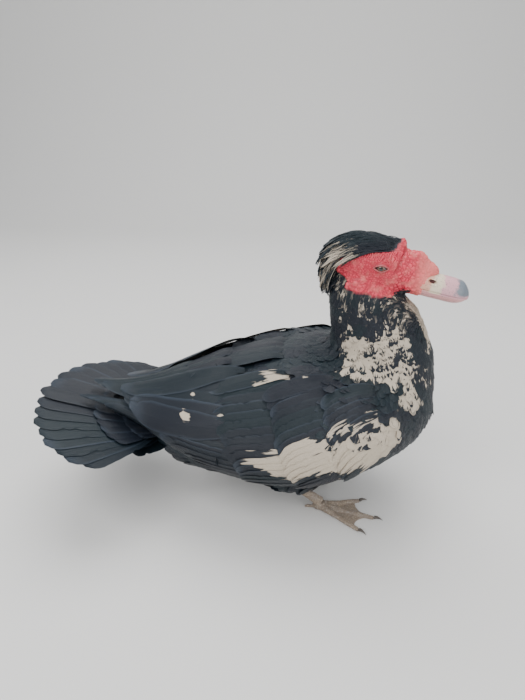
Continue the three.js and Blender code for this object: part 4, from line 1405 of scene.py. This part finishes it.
def plumage_material(name, barbs, streak_along, wear_and_highlight_most):
    """Black and cream feathers. The mesh gives vane, root, luck, white and tipped."""
    look = Look(name, BLACK_COLD, 0.42)
    sideways, along, _ = look.split("vane")
    across = look.math("ABSOLUTE", sideways)
    slant = look.minus(look.times(along, BARB_SLANT), across)
    wave = look.math("SINE", look.times(slant, barbs * 2 * math.pi / BARB_SLANT))
    luck = look.read("luck")
    given_white = look.read("white")

    # Painted sheen: patches of green-black among the blue-black stand in for the iridescent gloss.
    broad = look.noise(look.read("root", "Vector"), 38.0, 2.0)
    gloss = look.mix(look.ranged(broad, 0.4, 0.62), BLACK_COLD, BLACK_GREEN)
    # A lighter rim on each feather, stronger on some by luck: painted highlight, partly wear.
    rim = look.math("MAXIMUM", look.ranged(along, 0.86, 1.0), look.ranged(across, 0.75, 1.0))
    wear_and_highlight = look.times(rim, look.ranged(luck, 0.1, 1.0, 0.1, wear_and_highlight_most))
    dark = look.mix(wear_and_highlight, gloss, BLACK_EDGE)
    # The cream is darker along the barb stripes and in fine specks.
    barb_stripes_and_specks = look.plus(look.times(wave, 0.16), look.noise(look.place(), 900.0, 2.0))
    pale = look.mix(look.ranged(barb_stripes_and_specks, 0.35, 0.95, 0.0, 0.6), CREAM, CREAM_STRIPES_AND_SHADE)

    stretched = look.out(
        "ShaderNodeCombineXYZ",
        X=look.times(sideways, 3.4),
        Y=look.times(along, streak_along),
        Z=look.times(luck, 37.0),
    )
    streak = look.times(look.minus(look.noise(stretched, 1.0, 2.0), 0.5), 1.9)
    streak = look.times(streak, look.ranged(given_white, 0.0, 0.3))
    white = look.plus(look.plus(given_white, look.times(look.minus(luck, 0.5), 0.3)), streak)
    ends_dark = look.times(look.read("tipped"), look.ranged(along, 0.6, 0.84, 0.0, 0.42))
    mark = look.ranged(look.minus(white, ends_dark), 0.40, 0.60)
    shaft = look.ranged(across, 0.0, 0.07, 1.0, 0.0)

    look.set(Base_Color=look.mix(mark, dark, pale), Roughness=look.ranged(mark, 0.0, 1.0, 0.40, 0.62))
    look.set(Specular_IOR_Level=0.33)
    look.bump(look.plus(look.times(wave, 0.35), shaft), 0.0002, 0.7)
    return look.material


small_plumage = plumage_material("small_plumage", SMALL_BARBS, 1.2, 0.5)
long_plumage = plumage_material("long_plumage", BARBS, 2.6, 0.9)
print("feather materials:", small_plumage.name, "and", long_plumage.name)

# %% The skin's material
FACE_RED = (0.72, 0.05, 0.085)
FACE_FURROW_SHADE = (0.38, 0.012, 0.030)
FACE_PALE = (0.84, 0.24, 0.20)
LID_COLOR = (0.42, 0.13, 0.13)


def skin_material():
    """Feathered skin is as dark or pale as its coat. The bare face is red, with painted shade deeper in its
    furrows, and paler on the knob and the lids."""
    look = Look("skin", BLACK_COLD, 0.6)
    place = look.place()
    bare = look.read("bare")
    # Under white feathers the skin takes the darker cream: painted shade in the gaps between feathers.
    under = look.mix(look.read("white"), BLACK_COLD, CREAM_STRIPES_AND_SHADE)
    # Painted shade: the red is deeper where the relief is low, in the furrows between beads and in the crease.
    red = look.mix(look.ranged(look.read("relief"), -0.2, 0.7), FACE_FURROW_SHADE, FACE_RED)
    red = look.mix(look.ranged(look.noise(place, 110.0, 3.0), 0.45, 0.75, 0.0, 0.45), red, FACE_PALE)
    red = look.mix(look.ranged(look.split("spot")["X"], 44.0, 62.0, 0.0, 0.6), red, FACE_PALE)
    red = look.mix(look.times(look.read("lid"), 0.75), red, LID_COLOR)
    look.set(Base_Color=look.mix(bare, under, red), Roughness=look.ranged(bare, 0.0, 1.0, 0.7, 0.44))
    look.bump(look.noise(place, 1500.0, 3.0), 0.00025, 0.5)
    return look.material


# %% The eye's material
PUPIL, PUPIL_COLOR = (0.27, 0.31), (0.003, 0.003, 0.004)
IRIS_DARK, IRIS_LIGHT = (0.05, 0.018, 0.008), (0.16, 0.065, 0.022)
IRIS_EDGE, RING_COLOR = (0.50, 0.62), (0.02, 0.012, 0.01)


def eye_material():
    """A black pupil, a brown iris with fine rays and a dark ring, all under a wet gloss."""
    look = Look("eye", (0.02, 0.01, 0.006), 0.04)
    gaze = look.read("gaze")
    iris = look.mix(look.noise(look.place(), 2600.0, 2.0), IRIS_DARK, IRIS_LIGHT)
    ringed = look.mix(look.ranged(gaze, *IRIS_EDGE), iris, RING_COLOR)
    look.set(Base_Color=look.mix(look.ranged(gaze, *PUPIL), PUPIL_COLOR, ringed))
    look.set(Coat_Weight=1.0, Coat_Roughness=0.02)
    return look.material


# %% The bill's material
BILL_PINK = (0.66, 0.33, 0.33)
BILL_ROOT = (0.68, 0.36, 0.26)
BILL_BAND = (0.72, 0.62, 0.47)
BILL_LILAC = (0.66, 0.36, 0.40)
BILL_TIP = (0.17, 0.20, 0.23)
NOSTRIL_SHADE = (0.10, 0.03, 0.03)
SPECK_COLOR = (0.16, 0.12, 0.12)


def bill_material():
    """Pink horn with dark specks, a yellowish root, a cream band behind the middle and a grey nail."""
    look = Look("bill", BILL_PINK, 0.36)
    x, _, z = look.split("spot")
    place = look.place()
    stray = look.times(look.minus(look.noise(place, 160.0, 4.0), 0.5), 16.0)
    along = look.plus(x, stray)
    high = look.plus(z, look.times(stray, 0.3))
    color = look.mix(look.ranged(along, 66.0, 71.0), BILL_ROOT, BILL_BAND)
    color = look.mix(look.ranged(along, 79.0, 84.0), color, BILL_LILAC)
    # Painted shade: the nostril's opening is painted dark over its shallow pit.
    color = look.mix(look.ranged(look.read("nostril"), 0.2, 0.8), color, NOSTRIL_SHADE)
    nail = look.times(look.ranged(along, 94.0, 99.0), look.ranged(high, -10.0, -6.5))
    color = look.mix(nail, color, BILL_TIP)
    color = look.mix(look.ranged(high, -10.5, -12.5), color, BILL_PINK)
    specks = look.ranged(look.noise(place, 620.0, 3.0), 0.58, 0.68)
    look.set(Base_Color=look.mix(look.times(specks, 0.55), color, SPECK_COLOR))
    look.bump(look.noise(place, 1400.0, 3.0), 0.0002, 0.45)
    return look.material


# %% The materials of feet and claws
FOOT_TAN, FOOT_GREY, FOOT_FURROW_SHADE = (0.46, 0.37, 0.27), (0.33, 0.29, 0.25), (0.22, 0.17, 0.13)
CLAW_DARK, CLAW_LIGHT = (0.03, 0.025, 0.022), (0.14, 0.115, 0.095)


def foot_material():
    """Tan skin, greyer in patches, with painted shade between its scales and on the sole."""
    look = Look("foot", FOOT_TAN, 0.55)
    place = look.place()
    tan = look.mix(look.ranged(look.noise(place, 90.0, 4.0), 0.35, 0.65), FOOT_TAN, FOOT_GREY)
    # Painted shade: where the scales are low, in their furrows and on the sole, the skin is dark.
    look.set(Base_Color=look.mix(look.read("scales"), FOOT_FURROW_SHADE, tan))
    look.bump(look.noise(place, 1300.0, 3.0), 0.00025, 0.6)
    return look.material


def claw_material():
    """Dark horn, streaked light and dark."""
    look = Look("claw", CLAW_DARK, 0.38)
    streaks = look.noise(look.place(), 700.0, 4.0)
    look.set(Base_Color=look.mix(streaks, CLAW_DARK, CLAW_LIGHT))
    look.bump(streaks, 0.00015, 0.5)
    return look.material


skin.data.materials.clear()
skin.data.shade_smooth()
for pieces, material in (
    ([skin], skin_material()),
    (eyes, eye_material()),
    (bill_pieces, bill_material()),
    (feet.values(), foot_material()),
    (claws.values(), claw_material()),
):
    for piece in pieces:
        piece.data.materials.append(material)
    print(material.name, "is on", len(pieces), "pieces")


# %% Grow the coats
COAT_RULES = {
    "head": {"feathers": "velvet", "spacing": 2.0, "rise": 9, "sink": 0.3, "spread": 14},
    "neck": {"feathers": "contour", "spacing": 3.3, "rise": 8, "sink": 0.5, "spread": 14},
    "breast": {"feathers": "contour", "spacing": 4.7, "rise": 7, "sink": 0.7, "spread": 13},
    "body": {"feathers": "contour", "spacing": 6.6, "rise": 6, "sink": 0.8, "spread": 12},
    "wing": {"feathers": "contour", "spacing": 5.6, "rise": 6, "sink": 0.6, "spread": 10},
    "crest": {"feathers": "crest", "spacing": 1.7, "rise": 28, "sink": 0.6, "spread": 16},
}

coat_pieces = []
for number, (name, rule) in enumerate(COAT_RULES.items()):
    coat = grown(
        f"{name}_feathers",
        skin,
        coat_nodes,
        Coat=float(COATS[name]),
        Feathers=feather_sets[rule["feathers"]],
        Spacing=rule["spacing"] * MM,
        Rise=math.radians(rule["rise"]),
        Sink=rule["sink"] * MM,
        Spread=math.radians(rule["spread"]),
        Seed=40 + number,
        Material=small_plumage,
    )
    coat_pieces.append(coat)
    print(coat.name, "has", sum(len(p.vertices) - 2 for p in coat.data.polygons), "triangles")


# %% [markdown]
# ## Long feathers
# The feathers of wing and tail are few and large, so each is drawn in place. A row of shares runs down
# the vane and a function says where its edges and shaft lie over the sheet of the folded wing or the fan
# of the tail.

# %% A builder for long feathers
ACROSS = (1.0, 0.7, 0.35, 0.0, -0.35, -0.7, -1.0)
LONG_ROWS = 24
VANE_UNDER = 0.45
SHAFT_HIGH = 0.3
NOTCH_CHANCE, NOTCH_FROM = 0.12, 0.35
ROOT_SINK, ROOT_SHARE = 8, 0.22


class LongFeathers:
    """Collects vanes with their attributes, and makes one mesh of them."""

    def __init__(self, seed):
        self.luck = random.Random(seed)
        self.points, self.faces, self.marks = [], [], []

    def edge(self, row):
        """How far the vane's edge reaches at a row. Here and there its barbs are parted."""
        parted = row > LONG_ROWS * NOTCH_FROM and self.luck.random() < NOTCH_CHANCE
        return self.luck.uniform(0.80, 0.9) if parted else self.luck.uniform(0.97, 1.0)

    def add(self, place, white=None):
        """Adds a vane. place(share, offset) gives a point in metres for an offset of -1 to 1 across it, and
        the way down to its under side. white(share, offset) is its marking. Without one it is black."""
        first = len(self.points)
        chance_of = self.luck.random()
        root = place(0.0, 0.0)[0]
        for row in range(LONG_ROWS):
            share = row / (LONG_ROWS - 1)
            edges = {1.0: self.edge(row), -1.0: self.edge(row)}
            for offset in (*ACROSS, None):
                spot = offset or 0.0
                point, under = place(share, spot * edges.get(spot, 1))
                if offset == 0:
                    point = point - under.normalized() * SHAFT_HIGH * (1 - share) * MM
                elif offset is None:
                    point = point + under
                self.points.append(point)
                self.marks.append((spot, share, white(share, spot) if white else 0.0, chance_of, *root))
        self.faces += feather_faces(LONG_ROWS, len(ACROSS) + 1, first)

    def as_piece(self, name):
        """The collected vanes as one piece, with the attributes that the plumage material reads."""
        mesh = closed_mesh(name, self.points, self.faces)
        marks = np.array(self.marks)
        store(mesh, "vane", np.stack([marks[:, 0], marks[:, 1], np.zeros(len(marks))], axis=1))
        store(mesh, "white", marks[:, 2])
        store(mesh, "luck", marks[:, 3])
        store(mesh, "root", marks[:, 4:7])
        corners = np.zeros(len(mesh.loops), np.int32)
        mesh.loops.foreach_get("vertex_index", corners)
        spots = unwrapped(marks[:, 4:7])[:, :2] + marks[:, 0:2] * PATCH / 2
        mesh.uv_layers.new(name="OFBake").data.foreach_set("uv", spots[corners].astype(np.float32).ravel())
        mesh.materials.append(long_plumage)
        shade_vanes(mesh)
        return as_object(name, mesh)


def tucked_root(part):
    """How deep a long feather's root dips below its own lie, in millimetres."""
    return ROOT_SINK * max(0.0, 1 - part / ROOT_SHARE) ** 2


print("each long feather has", LONG_ROWS, "rows of", len(ACROSS) + 1, "points")

# %% The wing's tiers
# Counts are those of the real wing as it shows when folded. Low and high are the lowest and the highest
# feather of a tier: root and tip, each as shares along and up across the wing.
WING_TIERS = {
    "primaries": {
        "count": 8, "width": 21, "rise": (-0.5, 1), "lean": 7, "pile": -1.0, "pointed": 0.5,
        "low": ((0.47, 0.26), (0.90, 0.22)), "high": ((0.47, 0.52), (1.0, 0.60)),
    },
    "secondaries": {
        "count": 11, "width": 24, "rise": (4, 6), "lean": 7, "pile": 0, "pointed": -0.2,
        "low": ((0.40, 0.06), (0.62, 0.0)), "high": ((0.42, 0.66), (0.80, 0.54)),
    },
    "tertials": {
        "count": 5, "width": 32, "rise": (8, 9.5), "lean": 5, "pile": 0, "pointed": -0.1,
        "low": ((0.42, 0.62), (0.80, 0.56)), "high": ((0.42, 0.96), (0.86, 0.94)),
    },
    "greater coverts": {
        "count": 16, "width": 20, "rise": (6.5, 9), "lean": 7, "pile": 0, "pointed": -0.2,
        "low": ((0.26, 0.10), (0.47, 0.0)), "high": ((0.27, 0.94), (0.53, 0.86)),
    },
    "median coverts": {
        "count": 17, "width": 19, "rise": (7, 10), "lean": 7, "pile": 0, "pointed": -0.2,
        "low": ((0.14, 0.20), (0.33, 0.03)), "high": ((0.15, 0.95), (0.36, 0.80)),
    },
    "lesser coverts": {
        "count": 16, "width": 18, "rise": (6.5, 10), "lean": 7, "pile": 0, "pointed": -0.2,
        "low": ((0.05, 0.32), (0.20, 0.07)), "high": ((0.05, 0.95), (0.21, 0.76)),
    },
}
WING_CUP = 0.7
EDGE_BEND = 0.04


def between_ends(ends, share):
    """What lies a share of the way between two ends."""
    return np.array(ends[0]) + (np.array(ends[1]) - np.array(ends[0])) * share


def wing_vane(side, tier, number, luck):
    """The place and marking functions of one feather of a tier of the folded wing."""
    share = number / (tier["count"] - 1)
    root, tip = (between_ends(ends, share) for ends in zip(tier["low"], tier["high"]))
    tip = tip + (luck.uniform(-0.008, 0.008), luck.uniform(-0.006, 0.006))
    wide = tier["width"] * luck.uniform(0.95, 1.05)
    stray = luck.uniform(-0.032, 0.032)
    tucked = 1 - 2 * float(smooth_step((root[1] + tip[1]) / 2, 0.72, 0.92))
    lean = tucked * math.tan(math.radians(tier["lean"]))

    def place(part, offset):
        along, across = root + (tip - root) * part
        upper = sheet_point(side, along, across + SHARE_STEP)
        edgeways = (upper - sheet_point(side, along, across - SHARE_STEP)) / (2 * SHARE_STEP)
        half = wide / 2 * feather_width(part, tier["pointed"]) * offset
        wanted = across + half * MM / edgeways.length
        kept = min(1.0, max(0.0, wanted))
        rise = tier["rise"][0] + (tier["rise"][1] - tier["rise"][0]) * part
        rise = rise + tier["pile"] * number - tucked_root(part)
        cup = WING_CUP * (1 - offset**2) * math.sin(math.pi * min(1, part + 0.15))
        out = sheet_normal(side, along, across)
        past = (wanted - kept) * edgeways.length
        point = sheet_point(side, along, kept, rise + lean * half + cup) + edgeways.normalized() * past
        return point - out * (past / MM) ** 2 * EDGE_BEND * MM, out * -VANE_UNDER * MM

    def marking(part, offset):
        along, across = root + (tip - root) * max(part, 0.15)
        return wing_white(along + stray, across + stray * 0.6 + 0.012 * offset)

    return place, marking


def wing_feathers(side):
    """All tiers of one folded wing as one piece."""
    feathers = LongFeathers(70 + side)
    for tier in WING_TIERS.values():
        for number in range(tier["count"]):
            feathers.add(*wing_vane(side, tier, number, feathers.luck))
    return feathers.as_piece("wing_feathers_left" if side > 0 else "wing_feathers_right")


# %% Feathers over the middle of the back
# Where the folded wings meet, the innermost feathers of both lie over the rump and close the gap between
# them.
BACK_ROWS = [
    {"count": 4, "apart": 15, "from": 10, "to": -120, "width": 30, "lift": 1.5},
    {"count": 4, "apart": 12, "from": -60, "to": -190, "width": 30, "lift": 6},
    {"count": 3, "apart": 11, "from": -110, "to": -252, "width": 29, "lift": 9},
]
INWARDS_BELOW = 0.05


def back_vane(row, number, luck):
    """The place function of one feather over the back."""
    column = number - (row["count"] - 1) / 2
    drift = luck.uniform(-3, 3)
    first, last = row["from"] + luck.uniform(-5, 5), row["to"] + luck.uniform(-7, 7) + 8 * abs(column)
    lean = math.copysign(INWARDS_BELOW, column or 1)

    def place(part, offset):
        x = first + (last - first) * part
        half = row["width"] / 2 * feather_width(part, 0.1) * offset
        y = column * row["apart"] * (1 - 0.45 * part) + drift * part + half
        edge_y, edge_z = between(WING_SHEET, x, 3)
        droop = 0.5 * (abs(y) / max(edge_y, 12)) ** 2 * 10 + 0.010 * half**2
        z = edge_z + row["lift"] - droop - tucked_root(part) + lean * half
        return in_body(x, y, z), in_body(0, 0, -VANE_UNDER) - in_body(0, 0, 0)

    return place


def back_feathers():
    """The feathers over the middle of the back as one piece."""
    feathers = LongFeathers(95)
    for row in reversed(BACK_ROWS):
        for number in range(row["count"]):
            feathers.add(back_vane(row, number, feathers.luck))
    return feathers.as_piece("back_feathers")


back_piece = back_feathers()
wing_pieces = [wing_feathers(side) for side in (1, -1)]
print("long feathers on each wing:", {name: tier["count"] for name, tier in WING_TIERS.items()})

# %% The tail's fan
TAIL_ROUND = 0.24
TAIL_POINTED = -0.45
FAN_ROOT_WIDTH = 20
FAN_BOW = 0.0002
FAN_CUP = 0.7
FAN_KEY = ("count", "turn", "start", "length", "width", "lift", "rise", "lean")
TAIL_TIERS = [
    (18, 60, 14, 158, 38, 0, 0, 5),
    (13, 46, 6, 96, 30, 4.5, -1.5, 5),
    (11, 40, -6, 72, 28, 8, -2.5, 5),
    (12, 46, 6, 98, 32, -4, -4, -5),
    (11, 44, -6, 78, 30, -9, -6, -5),
]


def tail_vane(tier, top, number, luck):
    """The place function of one feather of the fan."""
    share = number / (tier["count"] - 1)
    turn = math.radians(tier["turn"] * (2 * share - 1))
    outward = abs(2 * share - 1)
    long = tier["length"] * (1 - TAIL_ROUND * outward**2) * luck.uniform(0.98, 1.02)
    lean = math.copysign(math.tan(math.radians(tier["lean"])), turn * tier["lean"])
    crown = top * max(0, 1 - outward * 9)

    def place(part, offset):
        reach = long * part
        half = tier["width"] / 2 * feather_width(part, TAIL_POINTED) * offset
        cup = FAN_CUP * (1 - offset**2)
        point = in_tail(
            tier["start"] + reach * math.cos(turn) - half * math.sin(turn),
            FAN_ROOT_WIDTH * math.sin(turn * 1.4) + reach * math.sin(turn) + half * math.cos(turn),
            tier["lift"] + tier["rise"] * part - FAN_BOW * reach**2 + lean * half + crown + cup,
        )
        return point, in_tail(0, 0, -VANE_UNDER) - in_tail(0, 0, 0)

    return place


def tail_feathers():
    """The fan with its upper and lower coverts as one piece. The middle of the long tier stands highest."""
    feathers = LongFeathers(90)
    for level, row in enumerate(TAIL_TIERS):
        tier = dict(zip(FAN_KEY, row))
        for number in range(tier["count"]):
            feathers.add(tail_vane(tier, 0 if level else 2.5, number, feathers.luck))
    return feathers.as_piece("tail_feathers")


tail_piece = tail_feathers()
print("feathers in the fan and its coverts:", sum(row[0] for row in TAIL_TIERS))

# %% Every piece rides on the bird
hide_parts("torso", "neck", "head", "thigh_left", "thigh_right")
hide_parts("wing_left")
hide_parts("wing_right")
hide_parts("tail")
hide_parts("eye_left")
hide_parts("eye_right")
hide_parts("bill_upper")
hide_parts("bill_lower")
for side_name in ("left", "right"):
    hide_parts(f"shank_{side_name}", f"foot_{side_name}")
    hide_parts(*[f"claw_{side_name}_{number}" for number in (1, 2, 3)])
SLOTS = {
    "plumage": [skin, tail_piece, back_piece, *wing_pieces, *coat_pieces],
    "eye": eyes,
    "bill": bill_pieces,
    "foot": list(feet.values()),
    "claw": list(claws.values()),
}
for slot_name, pieces in SLOTS.items():
    for piece in pieces:
        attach(piece, "root")
